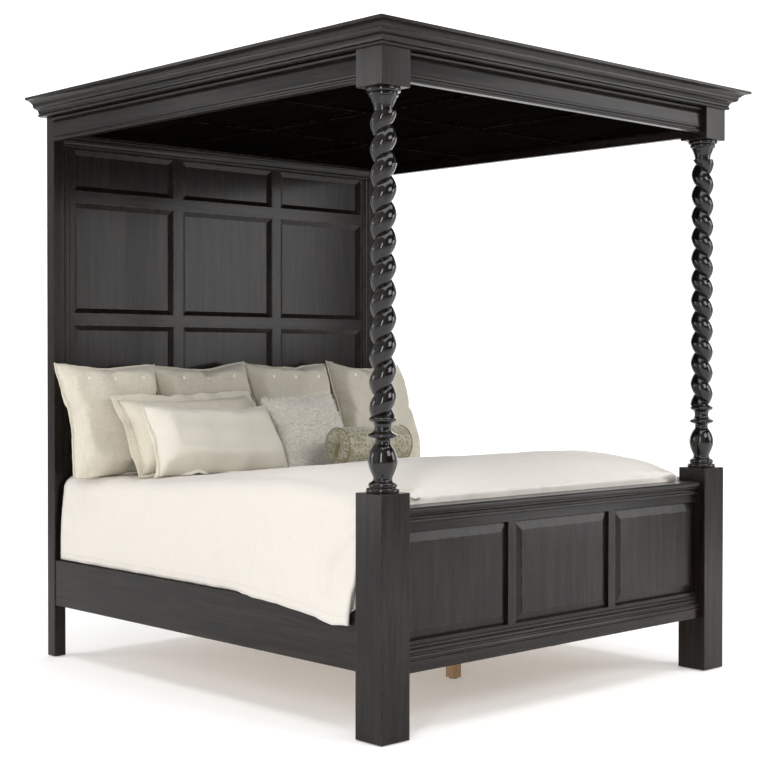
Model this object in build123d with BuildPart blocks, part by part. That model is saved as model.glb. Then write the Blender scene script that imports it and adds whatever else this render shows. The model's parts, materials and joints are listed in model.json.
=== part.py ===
from build123d import *
import os
from math import cos, radians, sin

# Four poster canopy bed, king size, in millimetres.
# The origin is on the floor under the middle of the bed's overall footprint.
# +X runs across the bed, +Y runs from the foot to the head, +Z is up.

# ---------------------------------------------------------------- overall
bed_width = 2080.0            # over the outer faces of the foot posts
bed_length = 2290.0           # front of the foot posts to back of the head posts
bed_height = 2555.0           # floor to the top of the cornice
cornice_overhang = 82.0       # beyond the foot posts, at the foot and both sides
cornice_height = 81.0
cornice_seat = 60.0           # how far the cornice reaches in over the friezes

# ---------------------------------------------------------------- posts
post_side = 140.0             # square foot posts and tester corner blocks
post_height = 892.0           # floor to the top of a foot post
tester_block_height = 136.0
edge_ease = 2.5               # eased arrises of the posts and blocks
head_post_width = 58.0
head_post_depth = 62.0
head_post_inset = 30.0        # behind the foot post's outer face
glide_height = 4.0
glide_radius = 19.0
glide_pin_radius = 2.5
glide_pin_length = 18.0

# ---------------------------------------------------------------- turned columns
tenon_radius = 19.0
tenon_length = 60.0
top_tenon_radius = 16.0
top_tenon_length = 50.0
base_ring_radius = 61.0
bulb_radius = 53.0
base_neck_radius = 34.5
bulb_neck_radius = 28.0
disc_neck_radius = 30.5
lower_disc_radius = 53.0
upper_disc_radius = 50.0
vase_height = 276.0           # post top to the start of the twist
capital_height = 84.0         # end of the twist to the tester block
capital_ring_radius = 64.0
twist_pitch = 92.43           # rise of the strand in one turn
strand_radius = 37.7
strand_offset = 11.8          # the strand's centre, off the column's axis

# ---------------------------------------------------------------- side rails
rail_bottom = 238.0
rail_height = 208.0
rail_thickness = 32.0
rail_inset = 34.0             # behind the foot post's outer face
cleat_width = 26.0
cleat_height = 42.0
cleat_rise = 54.0             # top of the cleats above the rails' lower edges
slat_count = 12
slat_width = 86.0
slat_thickness = 18.0
slat_end_gap = 3.0
beam_width = 46.0
beam_height = 76.0
beam_end_gap = 4.0
leg_side = 46.0
leg_count = 3

# ---------------------------------------------------------------- bed-rail fittings
plate_width = 20.0
plate_height = 130.0
plate_thickness = 3.0
plate_gap = 0.25              # round a plate in its recess
hook_thickness = 3.0
hook_reach = 15.0
hook_height = 28.0
hook_spacing = 62.0
slot_gap = 0.8                # round a hook in its slot
pocket_extra = 4.0            # behind and round the hooks, inside a post
screw_radius = 2.0
screw_head_radius = 4.0
screw_head_height = 2.2
screw_length = 24.0
screw_gap = 0.2
screw_spacing = 116.0

# ---------------------------------------------------------------- frame-and-panel work
groove_depth = 8.0
groove_width = 8.4
tongue_length = 7.7
tongue_thickness = 8.0
butt_gap = 0.2                # glue line between like pieces

# ---------------------------------------------------------------- headboard
headboard_front_set = 50.0    # frame face in front of the head posts' backs
headboard_thickness = 32.0
stile_width = 53.0
muntin_width = 50.0
panel_columns = 3
top_rail_height = 60.0
cross_rail_height = 50.0
short_row_height = 194.0
tall_rows = 3
bottom_rail_height = 207.0
panel_recess = 16.0           # panel face behind the frame's face
bead_width = 26.0
bead_depth = 15.0
bead_quirk = 4.0
bead_edge = 3.0
edge_mould_width = 40.0
edge_mould_thickness = 14.0

# ---------------------------------------------------------------- footboard
footboard_inset = 44.0        # frame face behind the foot posts' front faces
footboard_thickness = 40.0
footboard_bottom = 235.0
footboard_top = 834.0
cap_thickness = 24.0
cap_front_inset = 18.0        # nosing behind the foot posts' front faces
cap_back_set = 28.0           # cap behind the frame's back face
cap_mould_height = 34.0
cap_mould_depth = 16.0
top_rail_visible = 66.0       # top rail, from its lower edge to the cap
bottom_rail_visible = 110.0
base_mould_height = 96.0
base_mould_depth = 18.0
footboard_muntin = 44.0
field_bevel = 38.0
field_rise = 9.0
field_step = 1.8
footboard_panel_recess = 14.0

# ---------------------------------------------------------------- tester
frieze_height = 110.0
frieze_thickness = 28.0
frieze_inset = 26.0           # frieze face behind the corner blocks' faces
back_frieze_height = 74.0
back_mould_height = 53.5
back_mould_gap = 0.5          # under the ceiling's back ledger
back_mould_depth = 30.0
ceiling_drop = 74.0           # underside of the battens below the cornice
batten_width = 50.0
batten_thickness = 24.0
ledger_width = 32.0
ceiling_recess = 14.0
ceiling_panel_thickness = 6.0
dowel_radius = 6.0
dowel_length = 48.0
dowel_gap = 0.2
dowel_spacing = 56.0

# ---------------------------------------------------------------- bedding
mattress_side_gap = 9.0       # mattress inside the side rails
mattress_foot_gap = 12.0      # mattress behind the foot posts' back faces
mattress_head_gap = 58.0      # and in front of the headboard's face
mattress_corner = 60.0
mattress_roll = 28.0
box_spring_corner = 45.0
box_spring_roll = 8.0
box_spring_height = 190.0
mattress_height = 320.0
bed_layer_gap = 1.0
cover_thickness = 8.0
cover_side_gap = 12.0         # cover hanging clear of the mattress's sides
cover_foot_gap = 2.0          # and of its foot
cover_under_gap = 2.0         # cover lying clear of the comforter
crown_height = 126.0          # comforter above the mattress, at its highest
comforter_head_gap = 240.0    # comforter short of the mattress at the pillows
comforter_side_gap = 12.0     # and at the sides
comforter_fade = 12.0         # its thin end beyond the last of the crown
shoulder_rise = 6.0           # its upright sides above the mattress
round_in = 34.0               # the round of its sides, in from the edge and down from the top
round_drop = 68.0
flat_in = 110.0               # where its broad top begins, in from the edge and down from the top
flat_drop = 32.0
comforter_edge = 4.0          # its thickness where it thins out at the pillows
foot_fall = 92.0              # the crown's drop at the foot end
cover_hem_gap = 5.0           # hem above the side rails
cover_head_reach = 22.0       # cover beyond the mattress at the head
flap_length = 690.0
flap_drop = 55.0
flap_tip = 55.0               # the flap's lowest point, from its foot end
flap_rise = 12.0              # its foot edge above that point
flap_gap = 3.0

# ---------------------------------------------------------------- pillows
pillow_clear = 3.0            # lowest pillow edge above the cover
sham_roll = 48.0
euro_width = 526.0
euro_height = 545.0
euro_thickness = 130.0
euro_lean = 20.0
euro_back_gap = 3.0           # top back edge in front of the head posts
euro_count = 4
euro_gap = 9.0                # between neighbours
euro_shift = 22.5             # the row's middle, right of the bed's
buttons_per_sham = 3
button_radius = 9.0
button_thickness = 4.0
button_spacing = 150.0
button_drop = 95.0            # button centres below a sham's top edge
button_clear = 0.5
bolster_radius = 88.0
bolster_length = 420.0
bolster_middle = 190.0
bolster_gap = 46.0            # to the fur pillow's base
bolster_clear = 0.02          # lowest point above the cover's profile, as a share of the crown
bolster_roll = 24.0
long_sham_width = 820.0
long_sham_height = 420.0
long_sham_thickness = 130.0
long_sham_lean = 30.0
long_sham_middle = -470.0
long_sham_gap = 96.0          # to the square shams' bases
long_sham_rise = 8.0         # the cover under it, above the cover at the head
lumbar_width = 690.0
lumbar_height = 320.0
lumbar_thickness = 150.0
lumbar_roll = 56.0
lumbar_lean = 30.0
lumbar_middle = -512.0
lumbar_gap = 26.0             # to the long sham's base
lumbar_rise = 18.0
fur_width = 470.0
fur_height = 400.0
fur_thickness = 130.0
fur_lean = 30.0
fur_middle = 88.0
fur_gap = 22.0                # to the long sham's base
fur_rise = 17.0

# ---------------------------------------------------------------- derived places
foot_y = cornice_overhang - (bed_length + cornice_overhang) / 2
head_y = foot_y + bed_length
half_width = bed_width / 2
post_x = half_width - post_side / 2
post_y = foot_y + post_side / 2
post_back = foot_y + post_side
cornice_bottom = bed_height - cornice_height
block_bottom = cornice_bottom - tester_block_height
frieze_bottom = cornice_bottom - frieze_height
head_post_outer = half_width - head_post_inset
head_post_inner = head_post_outer - head_post_width
head_post_front = head_y - head_post_depth
rail_outer = half_width - rail_inset
rail_inner = rail_outer - rail_thickness
rail_x = (rail_outer + rail_inner) / 2
rail_top = rail_bottom + rail_height
slat_seat = rail_bottom + cleat_rise
plate_z = rail_bottom + rail_height / 2
headboard_front = head_y - headboard_front_set
headboard_top = cornice_bottom - back_frieze_height
top_rail_bottom = headboard_top - top_rail_height
ceiling_height = cornice_bottom - ceiling_drop
footboard_front = foot_y + footboard_inset
footboard_back = footboard_front + footboard_thickness
mattress_foot = post_back + mattress_foot_gap
mattress_length = headboard_front - mattress_head_gap - mattress_foot
mattress_width = 2 * (rail_inner - mattress_side_gap)
comforter_length = mattress_length - comforter_head_gap
mattress_bottom = slat_seat + slat_thickness + box_spring_height + bed_layer_gap
mattress_top = mattress_bottom + mattress_height
column_length = block_bottom - post_height
twist_length = column_length - vase_height - capital_height

os.makedirs("parts", exist_ok=True)


def save(piece, label):
    """Labels a finished piece and writes its own STEP file."""
    piece.label = label
    export_step(piece, f"parts/{label}.step")


def group(pieces):
    """Like pieces kept as separate solids under one name."""
    return Compound([solid for piece in pieces for solid in piece.solids()])


def save_pair(left, label):
    """Writes a left-hand piece and its mirror image."""
    save(left, f"{label}_left")
    save(mirror(left, about=Plane.YZ), f"{label}_right")


def board(x, y, z):
    """A square-cut board between its low and high faces along each axis."""
    with BuildPart() as piece:
        with BuildSketch(Plane.XY.offset(z[0])):
            with Locations(((x[0] + x[1]) / 2, (y[0] + y[1]) / 2)):
                Rectangle(x[1] - x[0], y[1] - y[0])
        extrude(amount=z[1] - z[0])
    return piece.part


def span_rectangle(x, y):
    """A sketch rectangle between low and high values on both axes."""
    with Locations(((x[0] + x[1]) / 2, (y[0] + y[1]) / 2)):
        Rectangle(x[1] - x[0], y[1] - y[0])


def even_spans(low, high, divider):
    """Equal openings between low and high, one for each panel column, parted by dividers."""
    opening = (high - low - (panel_columns - 1) * divider) / panel_columns
    starts = [low + n * (opening + divider) for n in range(panel_columns)]
    return [(start, start + opening) for start in starts]


def moulding(steps, back, drawn, real):
    """A moulding's section: local x is outward from its face, local y up from its lower edge.

    Each step is the next point of a line, or the middle and the end of an arc. The section is
    drawn at one width and height and stretched to the real ones, with its flat back at x = back.
    """

    def fitted(point):
        return (point[0] * real[0] / drawn[0], point[1] * real[1] / drawn[1])

    start = place = fitted(steps[0])
    with BuildSketch() as outline:
        with BuildLine():
            for step in steps[1:]:
                if isinstance(step[0], tuple):
                    middle, end = fitted(step[0]), fitted(step[1])
                    ThreePointArc(place, middle, end)
                else:
                    end = fitted(step)
                    Line(place, end)
                place = end
            Polyline(place, (back, place[1]), (back, start[1]), start)
        make_face()
    return outline.sketch


# Rail ends that meet a post: (x, y of the joint, direction from the rail into the post).
rail_joints = [
    (side * rail_x, y, way)
    for side in (-1, 1)
    for y, way in ((post_back, -1), (head_post_front, 1))
]


def joint_plane(x, y, way):
    """The meeting face of a rail and a post, its normal pointing into the post."""
    return Plane(origin=(x, y, plate_z), x_dir=(-way, 0, 0), z_dir=(0, way, 0))


def plate_seat(x, y, way, into_post):
    """The space for a plate: its recess, its screw holes and, in a post, the hook pocket."""
    depth_way = 1 if into_post else -1
    face = joint_plane(x, y, way)
    with BuildPart() as seat:
        with BuildSketch(face):
            Rectangle(plate_width + 2 * plate_gap, plate_height + 2 * plate_gap)
        extrude(amount=depth_way * (plate_thickness + plate_gap))
        with BuildSketch(face):
            with GridLocations(0, screw_spacing, 1, 2):
                Circle(screw_radius + screw_gap)
        extrude(amount=depth_way * (screw_length + screw_gap))
        if into_post:
            with BuildSketch(face):
                Rectangle(hook_thickness + 2 * pocket_extra, hook_spacing + hook_height + 2 * pocket_extra)
            extrude(amount=hook_reach + pocket_extra)
    return seat.part


# ================================================================ foot posts
footboard_tenon_length = 36.0
footboard_tenon_thickness = 16.0
mortise_gap = 0.3
footboard_tenon_y = footboard_front + footboard_thickness / 2
cap_bottom = footboard_top - cap_thickness
top_rail_bottom_z = cap_bottom - top_rail_visible
bottom_rail_top_z = footboard_bottom + bottom_rail_visible
tenon_shoulder = 12.0

with BuildPart() as foot_post:
    with BuildSketch(Plane.XY.offset(glide_height)):
        with Locations((-post_x, post_y)):
            Rectangle(post_side, post_side)
    extrude(amount=post_height - glide_height)
    chamfer(foot_post.edges().filter_by(Axis.Z), edge_ease)
    chamfer(foot_post.faces().sort_by(Axis.Z)[-1].edges(), edge_ease)
    with BuildSketch(Plane.XY.offset(post_height)):
        with Locations((-post_x, post_y)):
            Circle(tenon_radius + mortise_gap)
    extrude(amount=-(tenon_length + 2), mode=Mode.SUBTRACT)
    with BuildSketch(Plane.XY.offset(glide_height)):
        with Locations((-post_x, post_y)):
            Circle(glide_pin_radius + screw_gap)
    extrude(amount=glide_pin_length + screw_gap, mode=Mode.SUBTRACT)
    for low, high in (
        (footboard_bottom + tenon_shoulder, bottom_rail_top_z - tenon_shoulder),
        (top_rail_bottom_z + tenon_shoulder, cap_bottom - tenon_shoulder),
    ):
        with BuildSketch(Plane.YZ.offset(-post_x + post_side / 2)):
            span_rectangle(
                (
                    footboard_tenon_y - footboard_tenon_thickness / 2 - mortise_gap,
                    footboard_tenon_y + footboard_tenon_thickness / 2 + mortise_gap,
                ),
                (low - mortise_gap, high + mortise_gap),
            )
        extrude(amount=-(footboard_tenon_length + 2), mode=Mode.SUBTRACT)
    add(plate_seat(*rail_joints[0], into_post=True), mode=Mode.SUBTRACT)
save_pair(foot_post.part, "foot_post")

# ================================================================ turned columns
vase_drawn = 276.0
vase_steps = (
    (base_ring_radius - 5, 0),
    ((base_ring_radius, 8), (base_ring_radius - 5, 17)),
    (50, 20),
    ((51, 28), (44, 36)),
    ((base_neck_radius + 1.5, 42), (base_neck_radius, 52)),
    ((bulb_radius, 113), (bulb_neck_radius, 176)),
    ((bulb_neck_radius + 1, 186), (38, 192)),
    ((lower_disc_radius, 204), (38, 216)),
    ((disc_neck_radius, 233), (38, 251)),
    ((upper_disc_radius, 262), (40, 274)),
    (34, 278),
)
capital_drawn = 86.0
capital_steps = (
    (34, 0),
    ((40, 30), (50, 53)),
    ((56, 60), (52, 69)),
    (capital_ring_radius - 5, 69),
    ((capital_ring_radius, 77), (capital_ring_radius - 5, 86)),
)
twist_overlap = 2.0           # turned wood that the twist runs into at both ends
with BuildPart() as column:
    # Foot tenon, base ring, vase-shaped bulb and two thin discs.
    with BuildSketch(Plane.XZ):
        add(moulding(vase_steps, 0, (1, vase_drawn), (1, vase_height)))
        with Locations((tenon_radius / 2, -tenon_length / 2)):
            Rectangle(tenon_radius, tenon_length)
    revolve(axis=Axis.Z)
    # Capital: a cavetto under a bead and a broad ring, then the head tenon.
    capital_real = capital_height + twist_overlap
    with BuildSketch(Plane.XZ):
        with Locations((0, column_length - capital_real)):
            add(moulding(capital_steps, 0, (1, capital_drawn), (1, capital_real)))
        with Locations((top_tenon_radius / 2, column_length + top_tenon_length / 2)):
            Rectangle(top_tenon_radius, top_tenon_length)
    revolve(axis=Axis.Z)
    # Barley twist: an off-centre round strand wound about the axis, rising to the right.
    with BuildSketch(mode=Mode.PRIVATE) as strand:
        with Locations((strand_offset, 0)):
            Circle(strand_radius)
    twist = Solid.extrude_linear_with_rotation(
        strand.sketch.face(), (0, 0, 0), (0, 0, twist_length), 360 * twist_length / twist_pitch
    )
    with Locations((0, 0, vase_height)):
        add(twist)
left_column = column.part.moved(Location((-post_x, post_y, post_height)))
save_pair(left_column, "column")

# ================================================================ tester corner blocks
frieze_dowel_z = (
    frieze_bottom + frieze_height / 2 - dowel_spacing / 2,
    frieze_bottom + frieze_height / 2 + dowel_spacing / 2,
)
frieze_centre_x = half_width - frieze_inset - frieze_thickness / 2
frieze_centre_y = foot_y + frieze_inset + frieze_thickness / 2
# Doweled joints of the tester's left half: (x, y, z, axis of the dowel).
dowel_places = (
    [(-half_width + post_side, frieze_centre_y, z, Axis.X) for z in frieze_dowel_z]
    + [(-frieze_centre_x, post_back, z, Axis.Y) for z in frieze_dowel_z]
    + [(-frieze_centre_x, head_post_front, z, Axis.Y) for z in frieze_dowel_z]
)


def dowel_plane(x, y, z, axis):
    """Plane across a dowel at its middle."""
    return Plane(origin=(x, y, z), z_dir=axis.direction)


def dowel_rods(places, radius, half_length):
    """Round rods along the dowels of the given joints."""
    rods = []
    for place in places:
        with BuildPart() as rod:
            with BuildSketch(dowel_plane(*place)):
                Circle(radius)
            extrude(amount=half_length, both=True)
        rods.append(rod.part)
    return group(rods)


def dowel_bores(places):
    """The holes for the dowels of the given joints."""
    return dowel_rods(places, dowel_radius + dowel_gap, dowel_length / 2 + dowel_gap)


def opposite(places):
    """The same joints on the other side of the bed."""
    return [(-x, y, z, axis) for x, y, z, axis in places]


with BuildPart() as tester_block:
    with BuildSketch(Plane.XY.offset(block_bottom)):
        with Locations((-post_x, post_y)):
            Rectangle(post_side, post_side)
    extrude(amount=tester_block_height)
    chamfer(tester_block.edges().filter_by(Axis.Z), edge_ease)
    chamfer(tester_block.faces().sort_by(Axis.Z)[0].edges(), edge_ease)
    with BuildSketch(Plane.XY.offset(block_bottom)):
        with Locations((-post_x, post_y)):
            Circle(top_tenon_radius + mortise_gap)
    extrude(amount=top_tenon_length + 2, mode=Mode.SUBTRACT)
    add(dowel_bores(dowel_places[:4]), mode=Mode.SUBTRACT)
save_pair(tester_block.part, "tester_block")

# ================================================================ head posts
with BuildPart() as head_post:
    with BuildSketch(Plane.XY.offset(glide_height)):
        span_rectangle((-head_post_outer, -head_post_inner), (head_post_front, head_y))
    extrude(amount=cornice_bottom - glide_height)
    chamfer(head_post.edges().filter_by(Axis.Z), edge_ease)
    with BuildSketch(Plane.XY.offset(glide_height)):
        with Locations((-head_post_outer + head_post_width / 2, head_y - head_post_depth / 2)):
            Circle(glide_pin_radius + screw_gap)
    extrude(amount=glide_pin_length + screw_gap, mode=Mode.SUBTRACT)
    add(plate_seat(*rail_joints[1], into_post=True), mode=Mode.SUBTRACT)
    add(dowel_bores(dowel_places[4:]), mode=Mode.SUBTRACT)
save_pair(head_post.part, "head_post")

# ================================================================ side rails and their fittings
with BuildPart() as side_rail:
    with BuildSketch(Plane.XY.offset(rail_bottom)):
        span_rectangle((-rail_outer, -rail_inner), (post_back, head_post_front))
    extrude(amount=rail_height)
    chamfer(side_rail.edges().filter_by(Axis.Y), edge_ease)
    add(plate_seat(*rail_joints[0], into_post=False), mode=Mode.SUBTRACT)
    add(plate_seat(*rail_joints[1], into_post=False), mode=Mode.SUBTRACT)
save_pair(side_rail.part, "side_rail")

hook_plates = []
slot_plates = []
screws = []
for joint in rail_joints:
    face = joint_plane(*joint)
    with BuildPart() as hook_plate:
        with BuildSketch(face):
            Rectangle(plate_width, plate_height)
        extrude(amount=-plate_thickness)
        with BuildSketch(face):
            with GridLocations(0, hook_spacing, 1, 2):
                Rectangle(hook_thickness, hook_height)
        extrude(amount=hook_reach)
        with Locations(face):
            with GridLocations(0, screw_spacing, 1, 2):
                CounterSinkHole(screw_radius + screw_gap, screw_head_radius + screw_gap, plate_thickness)
    hook_plates.append(hook_plate.part)
    back_face = Plane(origin=face.origin, x_dir=face.x_dir, z_dir=-face.z_dir)
    with BuildPart() as slot_plate:
        with BuildSketch(face):
            Rectangle(plate_width, plate_height)
            with GridLocations(0, hook_spacing, 1, 2):
                Rectangle(hook_thickness + 2 * slot_gap, hook_height + 2 * slot_gap, mode=Mode.SUBTRACT)
        extrude(amount=plate_thickness)
        with Locations(back_face):
            with GridLocations(0, screw_spacing, 1, 2):
                CounterSinkHole(screw_radius + screw_gap, screw_head_radius + screw_gap, plate_thickness)
    slot_plates.append(slot_plate.part)
    for screw_face in (face, back_face):
        with BuildPart() as plate_screws:
            for z in (-screw_spacing / 2, screw_spacing / 2):
                with Locations(screw_face.offset(-screw_length / 2)):
                    with Locations((0, z)):
                        Cylinder(screw_radius, screw_length - 0.2)
                with Locations(screw_face.offset(-screw_head_height / 2 - 0.1)):
                    with Locations((0, z)):
                        Cone(screw_radius, screw_head_radius, screw_head_height)
        screws.append(plate_screws.part)
save(group(hook_plates), "rail_hook_plates")
save(group(slot_plates), "post_slot_plates")
save(group(screws), "plate_screws")

# ================================================================ slatted base
cleat = board(
    (-rail_inner, -rail_inner + cleat_width),
    (post_back + beam_end_gap, head_post_front - beam_end_gap),
    (slat_seat - cleat_height, slat_seat),
)
save(group([cleat, mirror(cleat, about=Plane.YZ)]), "rail_cleats")

slat_span = mattress_length - slat_width
with BuildPart() as slats:
    with BuildSketch(Plane.XY.offset(slat_seat)):
        with Locations((0, mattress_foot + mattress_length / 2)):
            with GridLocations(0, slat_span / (slat_count - 1), 1, slat_count):
                Rectangle(2 * (rail_inner - slat_end_gap), slat_width)
    extrude(amount=slat_thickness)
save(slats.part, "slats")

beam_bottom = slat_seat - beam_height
beam_ends = (footboard_back + beam_end_gap, headboard_front - beam_end_gap)
save(
    board((-beam_width / 2, beam_width / 2), beam_ends, (beam_bottom, slat_seat)),
    "centre_beam",
)

leg_pitch = mattress_length / (leg_count + 1)
leg_places = [(0, mattress_foot + leg_pitch * (n + 1)) for n in range(leg_count)]
with BuildPart() as centre_legs:
    with BuildSketch(Plane.XY.offset(glide_height)):
        with Locations(*leg_places):
            Rectangle(leg_side, leg_side)
    extrude(amount=beam_bottom - glide_height)
    with BuildSketch(Plane.XY.offset(glide_height)):
        with Locations(*leg_places):
            Circle(glide_pin_radius + screw_gap)
    extrude(amount=glide_pin_length + screw_gap, mode=Mode.SUBTRACT)
save(centre_legs.part, "centre_legs")

head_post_x = head_post_outer - head_post_width / 2
head_post_y = head_y - head_post_depth / 2
glide_places = leg_places + [
    (side * x, y) for side in (-1, 1) for x, y in ((post_x, post_y), (head_post_x, head_post_y))
]
with BuildPart() as floor_glides:
    with BuildSketch():
        with Locations(*glide_places):
            Circle(glide_radius)
    extrude(amount=glide_height)
    with BuildSketch(Plane.XY.offset(glide_height)):
        with Locations(*glide_places):
            Circle(glide_pin_radius)
    extrude(amount=glide_pin_length)
save(floor_glides.part, "floor_glides")


# ================================================================ frame-and-panel helpers
# Every frame lies behind a face plane whose local x runs across and local y up
# (or along the bed for the ceiling), with its normal towards the person looking at it.
def frame_member(face, x, y, thickness, groove_set, grooves="", tongues=""):
    """A rail, stile or muntin, with panel grooves and stub tongues on the named edges.

    Edges are W and E at low and high x, S and N at low and high y.
    """
    groove_spans = {
        "W": ((x[0], x[0] + groove_depth), y),
        "E": ((x[1] - groove_depth, x[1]), y),
        "S": (x, (y[0], y[0] + groove_depth)),
        "N": (x, (y[1] - groove_depth, y[1])),
    }
    # A tongue stops short of the grooves beside it, which the panel's corners fill.
    tongue_x = (x[0] + groove_depth * ("W" in grooves), x[1] - groove_depth * ("E" in grooves))
    tongue_y = (y[0] + groove_depth * ("S" in grooves), y[1] - groove_depth * ("N" in grooves))
    tongue_spans = {
        "W": ((x[0] - tongue_length, x[0]), tongue_y),
        "E": ((x[1], x[1] + tongue_length), tongue_y),
        "S": (tongue_x, (y[0] - tongue_length, y[0])),
        "N": (tongue_x, (y[1], y[1] + tongue_length)),
    }
    tongue_set = groove_set + (groove_width - tongue_thickness) / 2
    with BuildPart() as member:
        with BuildSketch(face):
            span_rectangle(x, y)
        extrude(amount=-thickness)
        for edge in grooves:
            with BuildSketch(face.offset(-groove_set)):
                span_rectangle(*groove_spans[edge])
            extrude(amount=-groove_width, mode=Mode.SUBTRACT)
        for edge in tongues:
            with BuildSketch(face.offset(-tongue_set)):
                span_rectangle(*tongue_spans[edge])
            extrude(amount=-tongue_thickness)
    return member.part


def flat_panel(face, x, y, groove_set, thickness, play):
    """A flat panel that fills an opening and reaches into the grooves round it."""
    reach = tongue_length - play
    with BuildPart() as panel:
        with BuildSketch(face.offset(-groove_set - (groove_width - thickness) / 2)):
            span_rectangle((x[0] - reach, x[1] + reach), (y[0] - reach, y[1] + reach))
        extrude(amount=-thickness)
    return panel.part


def mitred_bead(length):
    """One sloping bead of a panel's surround, lying on XY along X, mitred at both ends.

    Its outer edge is on y = 0 and it slopes down towards +y.
    """
    run = length - butt_gap
    with BuildPart() as bead:
        with BuildSketch(Plane.YZ.offset(-run / 2)):
            with BuildLine():
                Polyline(
                    (butt_gap / 2, 0),
                    (butt_gap / 2, bead_depth),
                    (bead_quirk, bead_depth),
                    (bead_quirk, bead_depth - 2),
                    (bead_width, bead_edge),
                    (bead_width, 0),
                    close=True,
                )
            make_face()
        extrude(amount=run)
        split(bisect_by=Plane(origin=(-run / 2, 0, 0), z_dir=(1, -1, 0)), keep=Keep.TOP)
        split(bisect_by=Plane(origin=(run / 2, 0, 0), z_dir=(-1, -1, 0)), keep=Keep.TOP)
    return bead.part


def bead_surround(face, x, y):
    """Four mitred beads round an opening, standing on the panel's face."""
    centre_x = (x[0] + x[1]) / 2
    centre_y = (y[0] + y[1]) / 2
    across = mitred_bead(x[1] - x[0])
    upright = mitred_bead(y[1] - y[0])
    placed = [
        (across, (centre_x, y[0], 0), 0),
        (across, (centre_x, y[1], 0), 180),
        (upright, (x[0], centre_y, 0), -90),
        (upright, (x[1], centre_y, 0), 90),
    ]
    floor = face.offset(-panel_recess)
    return [floor.location * Location(spot, (0, 0, turn)) * bead for bead, spot, turn in placed]


# ================================================================ headboard
headboard_face = Plane(origin=(0, headboard_front, 0), x_dir=(1, 0, 0), z_dir=(0, -1, 0))
headboard_groove = panel_recess - (groove_width - tongue_thickness) / 2
opening_edge = head_post_inner - stile_width
column_spans = even_spans(-opening_edge, opening_edge, muntin_width)
bottom_rail_top = rail_bottom + bottom_rail_height
tall_space = top_rail_bottom - short_row_height - bottom_rail_top
tall_row_height = tall_space / tall_rows - cross_rail_height
row_spans = [(top_rail_bottom - short_row_height, top_rail_bottom)]
for _ in range(tall_rows):
    row_top = row_spans[-1][0] - cross_rail_height
    row_spans.append((row_top - tall_row_height, row_top))

save_pair(
    frame_member(
        headboard_face,
        (-head_post_inner, -opening_edge),
        (rail_bottom, headboard_top),
        headboard_thickness,
        headboard_groove,
        grooves="E",
    ),
    "headboard_stile",
)
rail_span = (-opening_edge, opening_edge)
save(
    frame_member(
        headboard_face,
        rail_span,
        (top_rail_bottom, headboard_top),
        headboard_thickness,
        headboard_groove,
        grooves="S",
        tongues="WE",
    ),
    "headboard_top_rail",
)
save(
    group(
        frame_member(
            headboard_face,
            rail_span,
            (row[0] - cross_rail_height, row[0]),
            headboard_thickness,
            headboard_groove,
            grooves="SN",
            tongues="WE",
        )
        for row in row_spans[:-1]
    ),
    "headboard_cross_rails",
)
save(
    frame_member(
        headboard_face,
        rail_span,
        (rail_bottom, bottom_rail_top),
        headboard_thickness,
        headboard_groove,
        grooves="N",
        tongues="WE",
    ),
    "headboard_bottom_rail",
)
save(
    group(
        frame_member(
            headboard_face,
            (column_spans[n][1], column_spans[n + 1][0]),
            row,
            headboard_thickness,
            headboard_groove,
            grooves="WE",
            tongues="SN",
        )
        for row in row_spans
        for n in range(panel_columns - 1)
    ),
    "headboard_muntins",
)
panel_play = 1.0
save(
    group(
        flat_panel(headboard_face, span, row, headboard_groove, tongue_thickness, panel_play)
        for row in row_spans
        for span in column_spans
    ),
    "headboard_panels",
)
save(
    group(
        bead
        for row in row_spans
        for span in column_spans
        for bead in bead_surround(headboard_face, span, row)
    ),
    "headboard_panel_beads",
)

# Stepped upright strips that cover the joint between the head posts and the stiles.
edge_mould_face = Plane(
    origin=(-head_post_inner, headboard_front, rail_top), x_dir=(0, -1, 0), z_dir=(0, 0, 1)
)
edge_mould_steps = ((14, 0), (14, 10), (9, 13), (9, 20), ((6.5, 29), (3, 33)), (3, 40))
edge_mould_real = (edge_mould_thickness, edge_mould_width)
with BuildPart() as edge_mould:
    with BuildSketch(edge_mould_face):
        add(moulding(edge_mould_steps, 0, (14, 40), edge_mould_real))
    extrude(amount=top_rail_bottom - rail_top)
save(group([edge_mould.part, mirror(edge_mould.part, about=Plane.YZ)]), "headboard_edge_mouldings")

# ================================================================ footboard
footboard_face = Plane(origin=(0, footboard_front, 0), x_dir=(1, 0, 0), z_dir=(0, -1, 0))
footboard_half = half_width - post_side
footboard_groove = footboard_panel_recess
tenon_end = footboard_half + footboard_tenon_length


def footboard_rail(low, high, grooved_edge):
    """A footboard rail with a deep tenon at each end for the foot posts."""
    plain = frame_member(
        footboard_face,
        (-footboard_half, footboard_half),
        (low, high),
        footboard_thickness,
        footboard_groove,
        grooves=grooved_edge,
    )
    with BuildPart() as rail:
        add(plain)
        with BuildSketch(Plane.YZ.offset(-tenon_end)):
            span_rectangle(
                (
                    footboard_tenon_y - footboard_tenon_thickness / 2,
                    footboard_tenon_y + footboard_tenon_thickness / 2,
                ),
                (low + tenon_shoulder, high - tenon_shoulder),
            )
        extrude(amount=footboard_tenon_length)
        mirror(about=Plane.YZ)
    return rail.part


save(footboard_rail(top_rail_bottom_z, cap_bottom, "S"), "footboard_top_rail")
save(footboard_rail(footboard_bottom, bottom_rail_top_z, "N"), "footboard_bottom_rail")

footboard_columns = even_spans(-footboard_half, footboard_half, footboard_muntin)
footboard_row = (bottom_rail_top_z, top_rail_bottom_z)
save(
    group(
        frame_member(
            footboard_face,
            (footboard_columns[n][1], footboard_columns[n + 1][0]),
            footboard_row,
            footboard_thickness,
            footboard_groove,
            grooves="WE",
            tongues="SN",
        )
        for n in range(panel_columns - 1)
    ),
    "footboard_muntins",
)


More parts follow.
